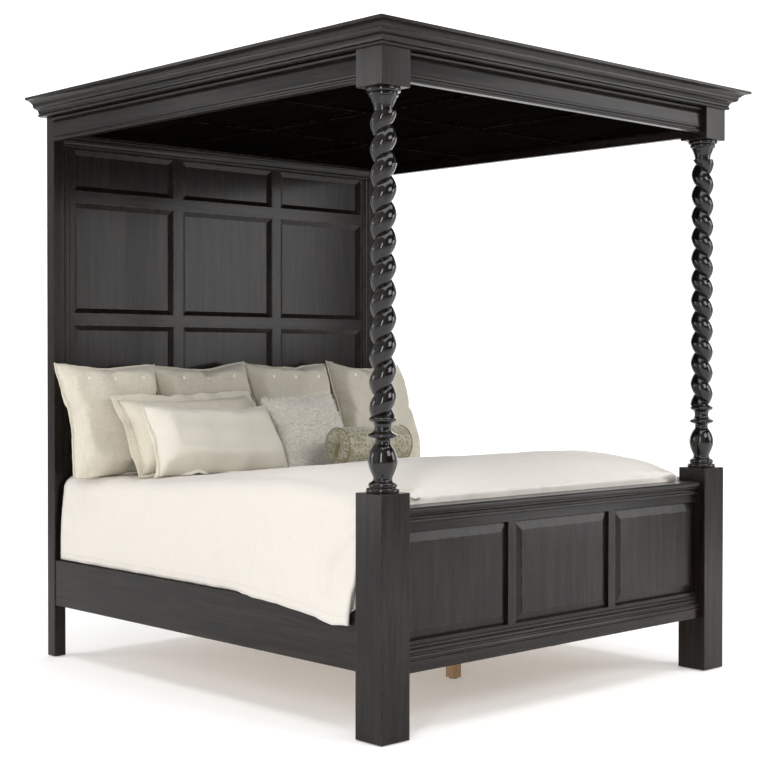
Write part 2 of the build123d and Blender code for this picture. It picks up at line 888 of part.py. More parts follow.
def raised_panel(x, y, west_reach, east_reach):
    """A panel with a bevelled border rising to a flat field."""
    plate_set = footboard_groove + (groove_width - tongue_thickness) / 2
    plate_face = footboard_face.offset(-plate_set)
    reach = tongue_length - panel_play
    field_x = (x[0] + field_bevel, x[1] - field_bevel)
    field_y = (y[0] + field_bevel, y[1] - field_bevel)
    with BuildPart() as panel:
        with BuildSketch(plate_face):
            span_rectangle((x[0] + west_reach, x[1] + east_reach), (y[0] - reach, y[1] + reach))
        extrude(amount=-tongue_thickness)
        with BuildSketch(plate_face):
            span_rectangle((x[0] + panel_play, x[1] - panel_play), (y[0] + panel_play, y[1] - panel_play))
        with BuildSketch(plate_face.offset(field_rise)):
            span_rectangle(field_x, field_y)
        loft()
        with BuildSketch(plate_face.offset(field_rise)):
            span_rectangle(field_x, field_y)
        extrude(amount=field_step)
    return panel.part


panel_reach = tongue_length - panel_play
save(
    group(
        raised_panel(
            span,
            footboard_row,
            panel_play if n == 0 else -panel_reach,
            -panel_play if n == panel_columns - 1 else panel_reach,
        )
        for n, span in enumerate(footboard_columns)
    ),
    "footboard_panels",
)

# Cap: a flat board with a rounded nosing, over a stepped bead moulding.
cap_front = foot_y + cap_front_inset
cap_back = footboard_back + cap_back_set
nosing_depth = 9.0
with BuildPart() as footboard_cap:
    with BuildSketch(Plane.YZ.offset(-footboard_half)):
        with BuildLine():
            Line((cap_back, cap_bottom), (cap_front + nosing_depth, cap_bottom))
            ThreePointArc(
                (cap_front + nosing_depth, cap_bottom),
                (cap_front, cap_bottom + cap_thickness / 2),
                (cap_front + nosing_depth, footboard_top),
            )
            Polyline(
                (cap_front + nosing_depth, footboard_top),
                (cap_back, footboard_top),
                (cap_back, cap_bottom),
            )
        make_face()
    extrude(amount=2 * footboard_half)
save(footboard_cap.part, "footboard_cap")


def length_moulding(section, half, y, bottom):
    """A moulding across the bed, its face at y and its lower edge at the given height."""
    with BuildPart() as strip:
        with BuildSketch(Plane(origin=(half, y, bottom), x_dir=(0, -1, 0), z_dir=(-1, 0, 0))):
            add(section)
        extrude(amount=2 * half)
    return strip.part


cap_mould_section = moulding(
    ((7, 0), ((13, 7), (9, 14)), (6, 14), ((8, 23), (16, 29)), (16, 34)),
    0,
    (16, 34),
    (cap_mould_depth, cap_mould_height),
)
save(
    length_moulding(cap_mould_section, footboard_half, footboard_front, cap_bottom - cap_mould_height),
    "footboard_cap_moulding",
)

base_mould_section = moulding(
    (
        (18, 0),
        (18, 40),
        (14, 42),
        ((17, 51), (13, 60)),
        ((9, 64), (11, 68)),
        ((14, 75), (9, 82)),
        (6, 84),
        ((9, 90), (5, 96)),
    ),
    0,
    (18, 96),
    (base_mould_depth, base_mould_height),
)
save(
    length_moulding(base_mould_section, footboard_half, footboard_front, footboard_bottom),
    "footboard_base_moulding",
)

# ================================================================ tester friezes
frieze_section = moulding(
    (
        (1, 0),
        ((5, 6), (1, 12)),
        (-4, 13),
        (-4, 18),
        (-1, 19),
        ((3, 24), (3, 31)),
        (0, 80),
        ((-4, 90), (-8, 94)),
        (0, 95),
        ((7, 102), (0, 110)),
    ),
    -frieze_thickness,
    (1, 110),
    (1, frieze_height),
)
with BuildPart() as frieze_front:
    add(length_moulding(frieze_section, footboard_half, foot_y + frieze_inset, frieze_bottom))
    add(dowel_bores(dowel_places[:2] + opposite(dowel_places[:2])), mode=Mode.SUBTRACT)
save(frieze_front.part, "tester_frieze_front")

frieze_side_face = Plane(
    origin=(-half_width + frieze_inset, post_back, frieze_bottom), x_dir=(-1, 0, 0), z_dir=(0, 1, 0)
)
with BuildPart() as frieze_side:
    with BuildSketch(frieze_side_face):
        add(frieze_section)
    extrude(amount=head_post_front - post_back)
    add(dowel_bores(dowel_places[2:]), mode=Mode.SUBTRACT)
save_pair(frieze_side.part, "tester_frieze")

save(
    board(
        (-head_post_inner, head_post_inner),
        (headboard_front, headboard_front + headboard_thickness),
        (headboard_top, headboard_top + back_frieze_height),
    ),
    "tester_frieze_back",
)

save(dowel_rods(dowel_places + opposite(dowel_places), dowel_radius, dowel_length / 2), "tester_dowels")


# ================================================================ cornice
cornice_section = moulding(
    (
        (8, 0),
        ((14, 7), (8, 14)),
        (12, 15),
        ((15, 26), (24, 33)),
        (28, 34),
        ((37, 38), (42, 47)),
        (42, 53),
        (46, 54),
        ((58, 64), (77, 69)),
        (82, 70),
        (82, 81),
    ),
    -cornice_seat,
    (82, 81),
    (cornice_overhang, cornice_height),
)
left_corner = (-half_width, foot_y, 0)
right_corner = (half_width, foot_y, 0)
cornice_half = half_width + cornice_overhang
with BuildPart() as cornice_front:
    add(length_moulding(cornice_section, cornice_half, foot_y, cornice_bottom))
    split(bisect_by=Plane(origin=left_corner, z_dir=(1, -1, 0)), keep=Keep.TOP)
    split(bisect_by=Plane(origin=right_corner, z_dir=(-1, -1, 0)), keep=Keep.TOP)
save(cornice_front.part, "cornice_front")

cornice_foot = foot_y - cornice_overhang
cornice_side_face = Plane(
    origin=(-half_width, cornice_foot, cornice_bottom), x_dir=(-1, 0, 0), z_dir=(0, 1, 0)
)
with BuildPart() as cornice_side:
    with BuildSketch(cornice_side_face):
        add(cornice_section)
    extrude(amount=head_y - cornice_foot)
    split(bisect_by=Plane(origin=left_corner, z_dir=(-1, 1, 0)), keep=Keep.TOP)
save_pair(cornice_side.part, "cornice")

# Bed moulding under the back frieze, above the headboard's top row.
back_mould_section = moulding(
    (
        (8, 0),
        ((12, 6), (9, 12)),
        ((14, 26), (24, 36)),
        ((30, 42), (26, 48)),
        (28, 50),
        (28, 53.5),
    ),
    0,
    (30, 53.5),
    (back_mould_depth, back_mould_height),
)
back_mould_bottom = ceiling_height - back_mould_gap - back_mould_height
save(
    length_moulding(back_mould_section, head_post_inner, headboard_front, back_mould_bottom),
    "tester_back_moulding",
)

# ================================================================ ceiling
# Local x is -X and local y is +Y, because the ceiling is seen from below.
ceiling_face = Plane(origin=(0, 0, ceiling_height), x_dir=(-1, 0, 0), z_dir=(0, 0, -1))
ceiling_groove = ceiling_recess - (groove_width - ceiling_panel_thickness) / 2
frieze_inner_x = half_width - frieze_inset - frieze_thickness
frieze_inner_y = foot_y + frieze_inset + frieze_thickness
ceiling_x = frieze_inner_x - ledger_width
ceiling_y = (post_back + ledger_width, headboard_front - ledger_width)
ceiling_columns = even_spans(-ceiling_x, ceiling_x, batten_width)
ceiling_rows = even_spans(*ceiling_y, batten_width)
batten_args = (batten_thickness, ceiling_groove)
side_ledger = (post_back, head_post_front)
back_ledger_half = min(ceiling_x, head_post_inner) - butt_gap
ledgers = [
    frame_member(ceiling_face, (-frieze_inner_x, -ceiling_x), side_ledger, *batten_args, grooves="E"),
    frame_member(ceiling_face, (ceiling_x, frieze_inner_x), side_ledger, *batten_args, grooves="W"),
    frame_member(
        ceiling_face,
        (-ceiling_x + butt_gap, ceiling_x - butt_gap),
        (post_back, ceiling_y[0]),
        *batten_args,
        grooves="N",
    ),
    frame_member(
        ceiling_face,
        (-footboard_half, footboard_half),
        (frieze_inner_y, post_back - butt_gap),
        *batten_args,
    ),
    frame_member(
        ceiling_face,
        (-back_ledger_half, back_ledger_half),
        (ceiling_y[1], headboard_front),
        *batten_args,
        grooves="S",
    ),
]
save(group(ledgers), "ceiling_ledgers")

long_battens = [
    frame_member(
        ceiling_face,
        (ceiling_columns[n][1], ceiling_columns[n + 1][0]),
        (ceiling_y[0], ceiling_y[1]),
        *batten_args,
        grooves="WE",
        tongues="SN",
    )
    for n in range(panel_columns - 1)
]
cross_battens = [
    frame_member(
        ceiling_face,
        (span[0] + butt_gap, span[1] - butt_gap),
        (ceiling_rows[n][1], ceiling_rows[n + 1][0]),
        *batten_args,
        grooves="SN",
        tongues="WE",
    )
    for span in ceiling_columns
    for n in range(panel_columns - 1)
]
save(group(long_battens + cross_battens), "ceiling_battens")
save(
    group(
        flat_panel(ceiling_face, span, row, ceiling_groove, ceiling_panel_thickness, panel_play)
        for span in ceiling_columns
        for row in ceiling_rows
    ),
    "ceiling_panels",
)

# ================================================================ mattress set
mattress_middle = mattress_foot + mattress_length / 2


def padded_block(bottom, height, corner, roll):
    """A mattress-sized block with rounded upright corners and rolled edges."""
    with BuildPart() as block:
        with BuildSketch(Plane.XY.offset(bottom)):
            with Locations((0, mattress_middle)):
                RectangleRounded(mattress_width, mattress_length, corner)
        extrude(amount=height)
        top_edges = block.faces().sort_by(Axis.Z)[-1].edges()
        bottom_edges = block.faces().sort_by(Axis.Z)[0].edges()
        fillet(top_edges + bottom_edges, roll)
    return block.part


save(
    padded_block(slat_seat + slat_thickness, box_spring_height, box_spring_corner, box_spring_roll),
    "box_spring",
)
save(
    padded_block(mattress_bottom, mattress_height - bed_layer_gap, mattress_corner, mattress_roll),
    "mattress",
)

# The comforter is crowned across the bed and along it, fuller towards the foot.
comforter_half = mattress_width / 2 - comforter_side_gap
# Its crown along the bed, from the pillows: share of its length, and of its height.
crown_profile = ((0.805, 0.087), (0.615, 0.365), (0.391, 0.770), (0.229, 1.0), (0.1, 0.825))


def across_outline(half, shoulder, crown, base):
    """Crowned section across the bed, with upright sides below the shoulder."""
    round_point = (half - round_in, crown - round_drop)
    flat_point = (half - flat_in, crown - flat_drop)
    with BuildSketch() as outline:
        with BuildLine():
            Polyline((0, base), (half, base), (half, shoulder))
            ThreePointArc((half, shoulder), round_point, flat_point)
            ThreePointArc(flat_point, (0, crown), (-flat_point[0], flat_point[1]))
            ThreePointArc(
                (-flat_point[0], flat_point[1]), (-round_point[0], round_point[1]), (-half, shoulder)
            )
            Polyline((-half, shoulder), (-half, base), (0, base))
        make_face()
    return outline.sketch


def along_outline(start, end, base, lift):
    """Profile along the bed: low at the pillows, fullest a little way from the foot."""
    floor = mattress_top + lift
    foot = floor + crown_height - foot_fall
    low = floor + comforter_edge
    fade = mattress_foot + comforter_length
    crown_points = [
        (mattress_foot + along * comforter_length, floor + rise * crown_height)
        for along, rise in crown_profile
    ]
    with BuildSketch() as outline:
        with BuildLine():
            Polyline((start, foot), (start, base), (end, base), (end, low), (fade, low))
            Spline((fade, low), *crown_points, (start, foot))
        make_face()
    return outline.sketch


def crowned(start, end, half, shoulder, base, lift):
    """A solid under the crown, between its ends along the bed and its sides."""
    across = across_outline(half, mattress_top + shoulder, mattress_top + crown_height + lift, base)
    with BuildPart() as body:
        with BuildSketch(Plane(origin=(0, start, 0), x_dir=(1, 0, 0), z_dir=(0, -1, 0))):
            add(across)
        extrude(amount=start - end)
        with BuildSketch(Plane.YZ.offset(-half)):
            add(along_outline(start, end, base, lift))
        extrude(amount=2 * half, mode=Mode.INTERSECT)
    return body.part


comforter_end = mattress_foot + comforter_length + comforter_fade
save(crowned(mattress_foot, comforter_end, comforter_half, shoulder_rise, mattress_top, 0), "comforter")

cover_foot = mattress_foot - cover_foot_gap - cover_thickness
cover_head = mattress_foot + mattress_length + cover_head_reach
cover_hem = rail_top + cover_hem_gap
cover_inner_half = mattress_width / 2 + cover_side_gap
cover_half = cover_inner_half + cover_thickness
cover_lift = cover_under_gap + cover_thickness
shoulder_step = 4.0           # shoulders of the cover above the comforter's, inside and out
cut_past = 30.0               # how far the hollow under the cover runs out at the head and the hem
hollow = crowned(
    cover_foot + cover_thickness,
    cover_head + cut_past,
    cover_inner_half,
    shoulder_rise + shoulder_step,
    cover_hem - cut_past,
    cover_under_gap,
)
cover_shoulder = shoulder_rise + 2 * shoulder_step
outer_cover = crowned(cover_foot, cover_head, cover_half, cover_shoulder, cover_hem, cover_lift)
with BuildPart() as coverlet:
    add(outer_cover)
    add(hollow, mode=Mode.SUBTRACT)
    # The loose corner that falls over the outside of the rail beside the foot post.
    flap_outer = rail_outer + flap_gap + cover_thickness
    flap_start = post_back + flap_gap
    with BuildSketch(Plane.XY.offset(cover_hem)):
        span_rectangle((-flap_outer, -cover_half + cover_thickness), (flap_start, flap_start + flap_length))
    extrude(amount=cover_thickness)
    with BuildSketch(Plane.YZ.offset(-flap_outer)):
        with BuildLine():
            Polyline(
                (flap_start, cover_hem + cover_thickness),
                (flap_start + flap_length, cover_hem + cover_thickness),
                (flap_start + flap_tip, cover_hem - flap_drop),
                (flap_start, cover_hem - flap_drop + flap_rise),
                close=True,
            )
        make_face()
    extrude(amount=cover_thickness)
    mirror(about=Plane.YZ)
save(coverlet.part, "coverlet")


# ================================================================ pillows
def pillow(width, height, thickness, roll):
    """A plain pillow block standing on its lower edge, rolled at every edge."""
    with BuildPart() as block:
        with BuildSketch(Plane.XZ.offset(-thickness / 2)):
            with Locations((0, height / 2)):
                RectangleRounded(width, height, roll)
        extrude(amount=thickness)
        fillet(block.faces().filter_by(Axis.Y).edges(), roll - 2)
    return block.part


pillow_floor = mattress_top + cover_lift
euro_y = (
    head_post_front
    - euro_back_gap
    - euro_thickness / 2 * cos(radians(euro_lean))
    - euro_height * sin(radians(euro_lean))
)
long_sham_y = euro_y - (euro_thickness + long_sham_thickness) / 2 - long_sham_gap
lumbar_y = long_sham_y - (long_sham_thickness + lumbar_thickness) / 2 - lumbar_gap
fur_y = long_sham_y - (long_sham_thickness + fur_thickness) / 2 - fur_gap
bolster_y = fur_y - fur_thickness / 2 - bolster_radius - bolster_gap


def leaning(across, y, rise, thickness, lean):
    """Where a pillow leans back with its lower front edge just clear of the cover."""
    dip = thickness / 2 * sin(radians(lean))
    return Location((across, y, pillow_floor + rise + dip + pillow_clear), (-lean, 0, 0))


euro_pitch = euro_width + euro_gap
euro_places = [
    leaning(euro_shift + (n - (euro_count - 1) / 2) * euro_pitch, euro_y, 0, euro_thickness, euro_lean)
    for n in range(euro_count)
]
for number, place in enumerate(euro_places, start=1):
    save(place * pillow(euro_width, euro_height, euro_thickness, sham_roll), f"euro_sham_{number}")

# Small sewn buttons near the top of each square sham.
buttons = []
for place in euro_places:
    with BuildPart() as sham_buttons:
        with BuildSketch(Plane.XZ.offset(euro_thickness / 2 + button_clear)):
            with Locations((0, euro_height - button_drop)):
                with GridLocations(button_spacing, 0, buttons_per_sham, 1):
                    Circle(button_radius)
        extrude(amount=button_thickness)
    buttons.append(place * sham_buttons.part)
save(group(buttons), "sham_buttons")

save(
    leaning(long_sham_middle, long_sham_y, long_sham_rise, long_sham_thickness, long_sham_lean)
    * pillow(long_sham_width, long_sham_height, long_sham_thickness, sham_roll),
    "long_sham",
)
save(
    leaning(lumbar_middle, lumbar_y, lumbar_rise, lumbar_thickness, lumbar_lean)
    * pillow(lumbar_width, lumbar_height, lumbar_thickness, lumbar_roll),
    "lumbar_pillow",
)
save(
    leaning(fur_middle, fur_y, fur_rise, fur_thickness, fur_lean)
    * pillow(fur_width, fur_height, fur_thickness, sham_roll),
    "fur_pillow",
)

# The bolster lies where the crown still rises, so it sits on the profile's first high point.
bolster_rise = crown_height * (crown_profile[1][1] + bolster_clear) - comforter_edge + pillow_clear
with BuildPart() as bolster:
    with BuildSketch(Plane.YZ.offset(bolster_middle - bolster_length / 2)):
        with Locations((bolster_y, pillow_floor + bolster_rise + bolster_radius)):
            Circle(bolster_radius)
    extrude(amount=bolster_length)
    fillet(bolster.edges(), bolster_roll)
save(bolster.part, "bolster")
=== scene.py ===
"""Looks for a four poster canopy bed: finishes, turned columns, bedding and pillows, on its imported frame."""

import json
import math

import bmesh
import bpy
import numpy as np
from bpy.props import FloatProperty, FloatVectorProperty, IntProperty, PointerProperty
from mathutils import Matrix, Vector
from mathutils.bvhtree import BVHTree

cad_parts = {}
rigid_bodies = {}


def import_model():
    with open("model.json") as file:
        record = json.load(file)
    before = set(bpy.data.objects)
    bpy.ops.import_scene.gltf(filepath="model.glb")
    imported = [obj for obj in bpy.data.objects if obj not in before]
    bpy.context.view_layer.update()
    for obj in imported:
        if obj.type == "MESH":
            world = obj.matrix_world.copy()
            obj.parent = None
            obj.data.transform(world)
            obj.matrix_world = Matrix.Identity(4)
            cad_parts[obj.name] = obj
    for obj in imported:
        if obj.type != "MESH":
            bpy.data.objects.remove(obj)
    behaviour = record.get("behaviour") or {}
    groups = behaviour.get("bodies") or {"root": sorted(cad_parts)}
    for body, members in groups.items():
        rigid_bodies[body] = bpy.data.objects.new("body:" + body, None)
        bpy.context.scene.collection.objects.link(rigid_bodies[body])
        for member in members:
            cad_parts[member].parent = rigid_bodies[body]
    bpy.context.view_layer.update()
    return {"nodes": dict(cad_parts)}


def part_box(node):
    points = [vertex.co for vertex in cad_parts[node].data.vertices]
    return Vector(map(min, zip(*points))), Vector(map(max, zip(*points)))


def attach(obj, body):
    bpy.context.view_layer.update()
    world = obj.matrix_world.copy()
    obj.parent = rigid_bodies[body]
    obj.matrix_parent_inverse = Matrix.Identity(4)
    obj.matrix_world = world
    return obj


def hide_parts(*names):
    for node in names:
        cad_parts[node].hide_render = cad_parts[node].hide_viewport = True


bl_info = {
    "name": "Four Poster Bed Looks",
    "version": (1, 0, 0),
    "blender": (4, 5, 0),
    "location": "3D View > Sidebar > Bed",
    "description": "Finishes, turned columns and bedding for a four poster canopy bed",
    "category": "Object",
}

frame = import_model()

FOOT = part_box("foot_post_left")[0].y
MATTRESS_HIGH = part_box("mattress")[1]
POST_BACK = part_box("foot_post_left")[1].y
RAIL_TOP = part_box("side_rail_left")[1].z
RAIL_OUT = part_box("side_rail_right")[1].x
HEADBOARD_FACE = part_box("headboard_stile_left")[0].y


# ------------------------------------------------------------------ settings
class BedWoodSettings(bpy.types.PropertyGroup):
    dark: FloatVectorProperty(
        name="Dark grain", description="Stain in the open grain",
        subtype="COLOR", size=3, min=0, max=1, default=(0.0030, 0.0022, 0.0018))
    light: FloatVectorProperty(
        name="Light grain", description="Stain on the hard grain",
        subtype="COLOR", size=3, min=0, max=1, default=(0.0170, 0.0112, 0.0080))
    rubbed: FloatVectorProperty(
        name="Rubbed edge", description="Wood that shows where an edge is rubbed through",
        subtype="COLOR", size=3, min=0, max=1, default=(0.190, 0.125, 0.085))
    satin: FloatProperty(
        name="Satin roughness", description="Roughness of the sheen on flat work",
        subtype="FACTOR", min=0, max=1, default=0.33)
    gloss: FloatProperty(
        name="Column roughness", description="Roughness of the polish on turned work",
        subtype="FACTOR", min=0, max=1, default=0.13)
    ease: FloatProperty(
        name="Eased edge", description="Radius that catches the light along an edge",
        unit="LENGTH", min=0, max=0.01, default=0.0022)


class BedColumnSettings(bpy.types.PropertyGroup):
    turns: FloatProperty(
        name="Turns", description="Times the strand goes round between the discs and the capital",
        min=1, max=30, default=11.75)
    crest: FloatProperty(
        name="Crest radius", description="Column axis to the top of the strand",
        unit="LENGTH", min=0.02, max=0.1, default=0.0495)
    groove: FloatProperty(
        name="Groove radius", description="Column axis to the bottom of the groove",
        unit="LENGTH", min=0.01, max=0.1, default=0.0262)


class BedLinenSettings(bpy.types.PropertyGroup):
    cream: FloatVectorProperty(
        name="Coverlet", description="Colour of the coverlet",
        subtype="COLOR", size=3, min=0, max=1, default=(0.78, 0.735, 0.675))
    beige: FloatVectorProperty(
        name="Shams", description="Colour of the square and long shams",
        subtype="COLOR", size=3, min=0, max=1, default=(0.74, 0.69, 0.575))
    ivory: FloatVectorProperty(
        name="Lumbar pillow", description="Colour of the lumbar pillow",
        subtype="COLOR", size=3, min=0, max=1, default=(0.80, 0.76, 0.66))
    fur: FloatVectorProperty(
        name="Fur", description="Colour of the pile",
        subtype="COLOR", size=3, min=0, max=1, default=(0.98, 0.95, 0.88))
    thread: FloatProperty(
        name="Thread", description="Spacing of the linen's threads",
        unit="LENGTH", min=0.0002, max=0.01, default=0.0016)
    crumple: FloatProperty(
        name="Crumple", description="Height of the small creases in washed linen",
        unit="LENGTH", min=0, max=0.01, default=0.0016)


class BedStageSettings(bpy.types.PropertyGroup):
    focal: FloatProperty(
        name="Focal length", description="Lens of the camera, in millimetres",
        min=10, max=300, default=71.25)
    key: FloatProperty(
        name="Key light", description="Power of the large soft light on the left",
        unit="POWER", min=0, default=14)
    floor: FloatVectorProperty(
        name="Floor", description="Colour of the studio floor",
        subtype="COLOR", size=3, min=0, max=1, default=(0.86, 0.86, 0.86))


# ------------------------------------------------------------------ node helpers
def put(tree, kind, values=None, **settings):
    """Adds a node; a value that is a socket is linked, and any other is set."""
    made = tree.nodes.new(kind)
    for name, value in settings.items():
        setattr(made, name, value)
    for socket, value in (values or {}).items():
        if isinstance(value, bpy.types.NodeSocket):
            tree.links.new(value, made.inputs[socket])
        else:
            made.inputs[socket].default_value = value
    return made


def sums(tree, operation, first, second=0.0, third=None):
    """One Math node's result."""
    values = {0: first, 1: second}
    if third is not None:
        values[2] = third
    return put(tree, "ShaderNodeMath", values, operation=operation).outputs[0]


def blend_colour(tree, factor, first, second, mode="MIX"):
    """One colour Mix node's result."""
    made = put(tree, "ShaderNodeMix", {0: factor, 6: first, 7: second}, data_type="RGBA", blend_type=mode)
    return made.outputs[2]


def new_group(name, kind, inputs, outputs):
    """An empty node group with its sockets, its input node and its output node."""
    tree = bpy.data.node_groups.new(name, kind)
    for label, socket_type, default in inputs:
        socket = tree.interface.new_socket(label, in_out="INPUT", socket_type=socket_type)
        if default is not None:
            socket.default_value = default
    for label, socket_type in outputs:
        tree.interface.new_socket(label, in_out="OUTPUT", socket_type=socket_type)
    return tree, tree.nodes.new("NodeGroupInput").outputs, tree.nodes.new("NodeGroupOutput")


def grain_group():
    """Open wood grain: colour, roughness and height from coordinates stretched along the board."""
    if "Wood grain" in bpy.data.node_groups:
        return bpy.data.node_groups["Wood grain"]
    tree, given, out = new_group(
        "Wood grain", "ShaderNodeTree",
        [("Vector", "NodeSocketVector", None), ("Dark", "NodeSocketColor", (0.01, 0.01, 0.01, 1)),
         ("Light", "NodeSocketColor", (0.05, 0.04, 0.03, 1)), ("Roughness", "NodeSocketFloat", 0.35)],
        [("Color", "NodeSocketColor"), ("Roughness", "NodeSocketFloat"), ("Height", "NodeSocketFloat")])
    broad = put(tree, "ShaderNodeTexNoise",
                {"Vector": given["Vector"], "Scale": 1.0, "Detail": 5.0, "Roughness": 0.62,
                 "Distortion": 0.7})
    fine = put(tree, "ShaderNodeTexNoise",
               {"Vector": given["Vector"], "Scale": 5.5, "Detail": 3.0, "Roughness": 0.6, "Distortion": 0.15})
    bands = put(tree, "ShaderNodeMapRange",
                {0: broad.outputs["Fac"], 1: 0.34, 2: 0.68, 3: 0.0, 4: 1.0}, interpolation_type="SMOOTHSTEP")
    pores = put(tree, "ShaderNodeMapRange",
                {0: fine.outputs["Fac"], 1: 0.40, 2: 0.56, 3: 0.0, 4: 1.0}, interpolation_type="SMOOTHSTEP")
    share = sums(tree, "MULTIPLY", bands.outputs[0], sums(tree, "MULTIPLY_ADD", pores.outputs[0], 0.55, 0.45))
    tree.links.new(blend_colour(tree, share, given["Dark"], given["Light"]), out.inputs["Color"])
    uneven = sums(tree, "MULTIPLY_ADD", bands.outputs[0], -0.09, sums(tree, "ADD", given["Roughness"], 0.05))
    tree.links.new(uneven, out.inputs["Roughness"])
    height = sums(tree, "MULTIPLY_ADD", pores.outputs[0], 0.7, broad.outputs["Fac"])
    tree.links.new(height, out.inputs["Height"])
    return tree


def edge_group():
    """Eased and rubbed edges: a normal rounded at every edge and a broken mask of where they wear."""
    if "Edge wear" in bpy.data.node_groups:
        return bpy.data.node_groups["Edge wear"]
    tree, given, out = new_group(
        "Edge wear", "ShaderNodeTree",
        [("Vector", "NodeSocketVector", None), ("Radius", "NodeSocketFloat", 0.002),
         ("Amount", "NodeSocketFloat", 0.5)],
        [("Mask", "NodeSocketFloat"), ("Normal", "NodeSocketVector")])
    eased = put(tree, "ShaderNodeBevel", {"Radius": given["Radius"]}, samples=4)
    face = put(tree, "ShaderNodeNewGeometry")
    turn = put(tree, "ShaderNodeVectorMath", {0: eased.outputs[0], 1: face.outputs["Normal"]},
               operation="DOT_PRODUCT")
    edge = put(tree, "ShaderNodeMapRange", {0: turn.outputs["Value"], 1: 0.995, 2: 0.86, 3: 0.0, 4: 1.0})
    patchy = put(tree, "ShaderNodeTexNoise", {"Vector": given["Vector"], "Scale": 38.0, "Detail": 4.0})
    gate = put(tree, "ShaderNodeMapRange", {0: patchy.outputs["Fac"], 1: 0.42, 2: 0.66, 3: 0.0, 4: 1.0})
    worn = sums(tree, "MULTIPLY", edge.outputs[0], gate.outputs[0])
    tree.links.new(sums(tree, "MULTIPLY", worn, given["Amount"]), out.inputs["Mask"])
    tree.links.new(eased.outputs[0], out.inputs["Normal"])
    return tree


def dust_group():
    """Thin dust that settles on faces that look up."""
    if "Settled dust" in bpy.data.node_groups:
        return bpy.data.node_groups["Settled dust"]
    tree, given, out = new_group(
        "Settled dust", "ShaderNodeTree",
        [("Vector", "NodeSocketVector", None), ("Color", "NodeSocketColor", (0, 0, 0, 1)),
         ("Roughness", "NodeSocketFloat", 0.4), ("Amount", "NodeSocketFloat", 0.1)],
        [("Color", "NodeSocketColor"), ("Roughness", "NodeSocketFloat")])
    face = put(tree, "ShaderNodeNewGeometry")
    height = put(tree, "ShaderNodeSeparateXYZ", {0: face.outputs["Normal"]}).outputs["Z"]
    up = put(tree, "ShaderNodeMapRange", {0: height, 1: 0.55, 2: 0.98, 3: 0.0, 4: 1.0})
    cloud = put(tree, "ShaderNodeTexNoise", {"Vector": given["Vector"], "Scale": 9.0, "Detail": 6.0})
    patchy = sums(tree, "MULTIPLY", up.outputs[0], cloud.outputs["Fac"])
    share = sums(tree, "MULTIPLY", patchy, given["Amount"])
    tree.links.new(blend_colour(tree, share, given["Color"], (0.34, 0.32, 0.29, 1)), out.inputs["Color"])
    tree.links.new(sums(tree, "MULTIPLY_ADD", share, 0.5, given["Roughness"]), out.inputs["Roughness"])
    return tree


def weave_group():
    """Plain weave with uneven threads: a shade and a height from cloth coordinates in metres."""
    if "Plain weave" in bpy.data.node_groups:
        return bpy.data.node_groups["Plain weave"]
    tree, given, out = new_group(
        "Plain weave", "ShaderNodeTree",
        [("Vector", "NodeSocketVector", None), ("Thread", "NodeSocketFloat", 0.0016),
         ("Slub", "NodeSocketFloat", 0.5)],
        [("Shade", "NodeSocketFloat"), ("Height", "NodeSocketFloat")])
    wander = put(tree, "ShaderNodeTexNoise", {"Vector": given["Vector"], "Scale": 30.0, "Detail": 2.0})
    bent = put(tree, "ShaderNodeVectorMath",
               {0: wander.outputs["Color"], 1: (0.0016, 0.0016, 0.0), 2: given["Vector"]},
               operation="MULTIPLY_ADD")
    axes = put(tree, "ShaderNodeSeparateXYZ", {0: bent.outputs[0]})
    rate = sums(tree, "DIVIDE", math.pi, given["Thread"])
    warp = sums(tree, "SINE", sums(tree, "MULTIPLY", axes.outputs["X"], rate))
    weft = sums(tree, "SINE", sums(tree, "MULTIPLY", axes.outputs["Y"], rate))
    over = sums(tree, "MULTIPLY", warp, weft)
    slubs = []
    for stretch in ((14.0, 420.0, 1.0), (420.0, 14.0, 1.0)):
        turned = put(tree, "ShaderNodeMapping", {"Vector": given["Vector"], "Scale": stretch})
        streak = put(tree, "ShaderNodeTexNoise", {"Vector": turned.outputs[0], "Scale": 1.0, "Detail": 2.0})
        slubs.append(put(tree, "ShaderNodeMapRange",
                         {0: streak.outputs["Fac"], 1: 0.35, 2: 0.75, 3: 0.0, 4: 1.0}))
    slub = sums(tree, "MULTIPLY", sums(tree, "ADD", slubs[0].outputs[0], slubs[1].outputs[0]), given["Slub"])
    shade = sums(tree, "MULTIPLY_ADD", over, 0.12, sums(tree, "MULTIPLY_ADD", slub, 0.55, 0.22))
    tree.links.new(shade, out.inputs["Shade"])
    tree.links.new(sums(tree, "MULTIPLY_ADD", over, 0.5, slub), out.inputs["Height"])
    return tree


def crease_group():
    """Soft creases of washed cloth, as a height, and a painted shade that darkens along them."""
    if "Cloth creases" in bpy.data.node_groups:
        return bpy.data.node_groups["Cloth creases"]
    tree, given, out = new_group(
        "Cloth creases", "ShaderNodeTree",
        [("Vector", "NodeSocketVector", None), ("Scale", "NodeSocketFloat", 9.0)],
        [("Height", "NodeSocketFloat"), ("Shade", "NodeSocketFloat")])
    heights = []
    for factor, share in ((1.0, 1.0), (2.7, 0.45)):
        lump = put(tree, "ShaderNodeTexNoise",
                   {"Vector": given["Vector"], "Scale": sums(tree, "MULTIPLY", given["Scale"], factor),
                    "Detail": 3.0, "Roughness": 0.5, "Distortion": 1.1})
        ridge = sums(tree, "ABSOLUTE", sums(tree, "SUBTRACT", lump.outputs["Fac"], 0.5))
        soft = sums(tree, "POWER", sums(tree, "MULTIPLY", ridge, 4.0), 0.7)
        heights.append(sums(tree, "MULTIPLY", soft, share))
    total = sums(tree, "ADD", heights[0], heights[1])
    tree.links.new(total, out.inputs["Height"])
    # Painted shade: half the crease height, which darkens the cloth's colour along the creases.
    tree.links.new(sums(tree, "MULTIPLY", total, 0.5), out.inputs["Shade"])
    return tree


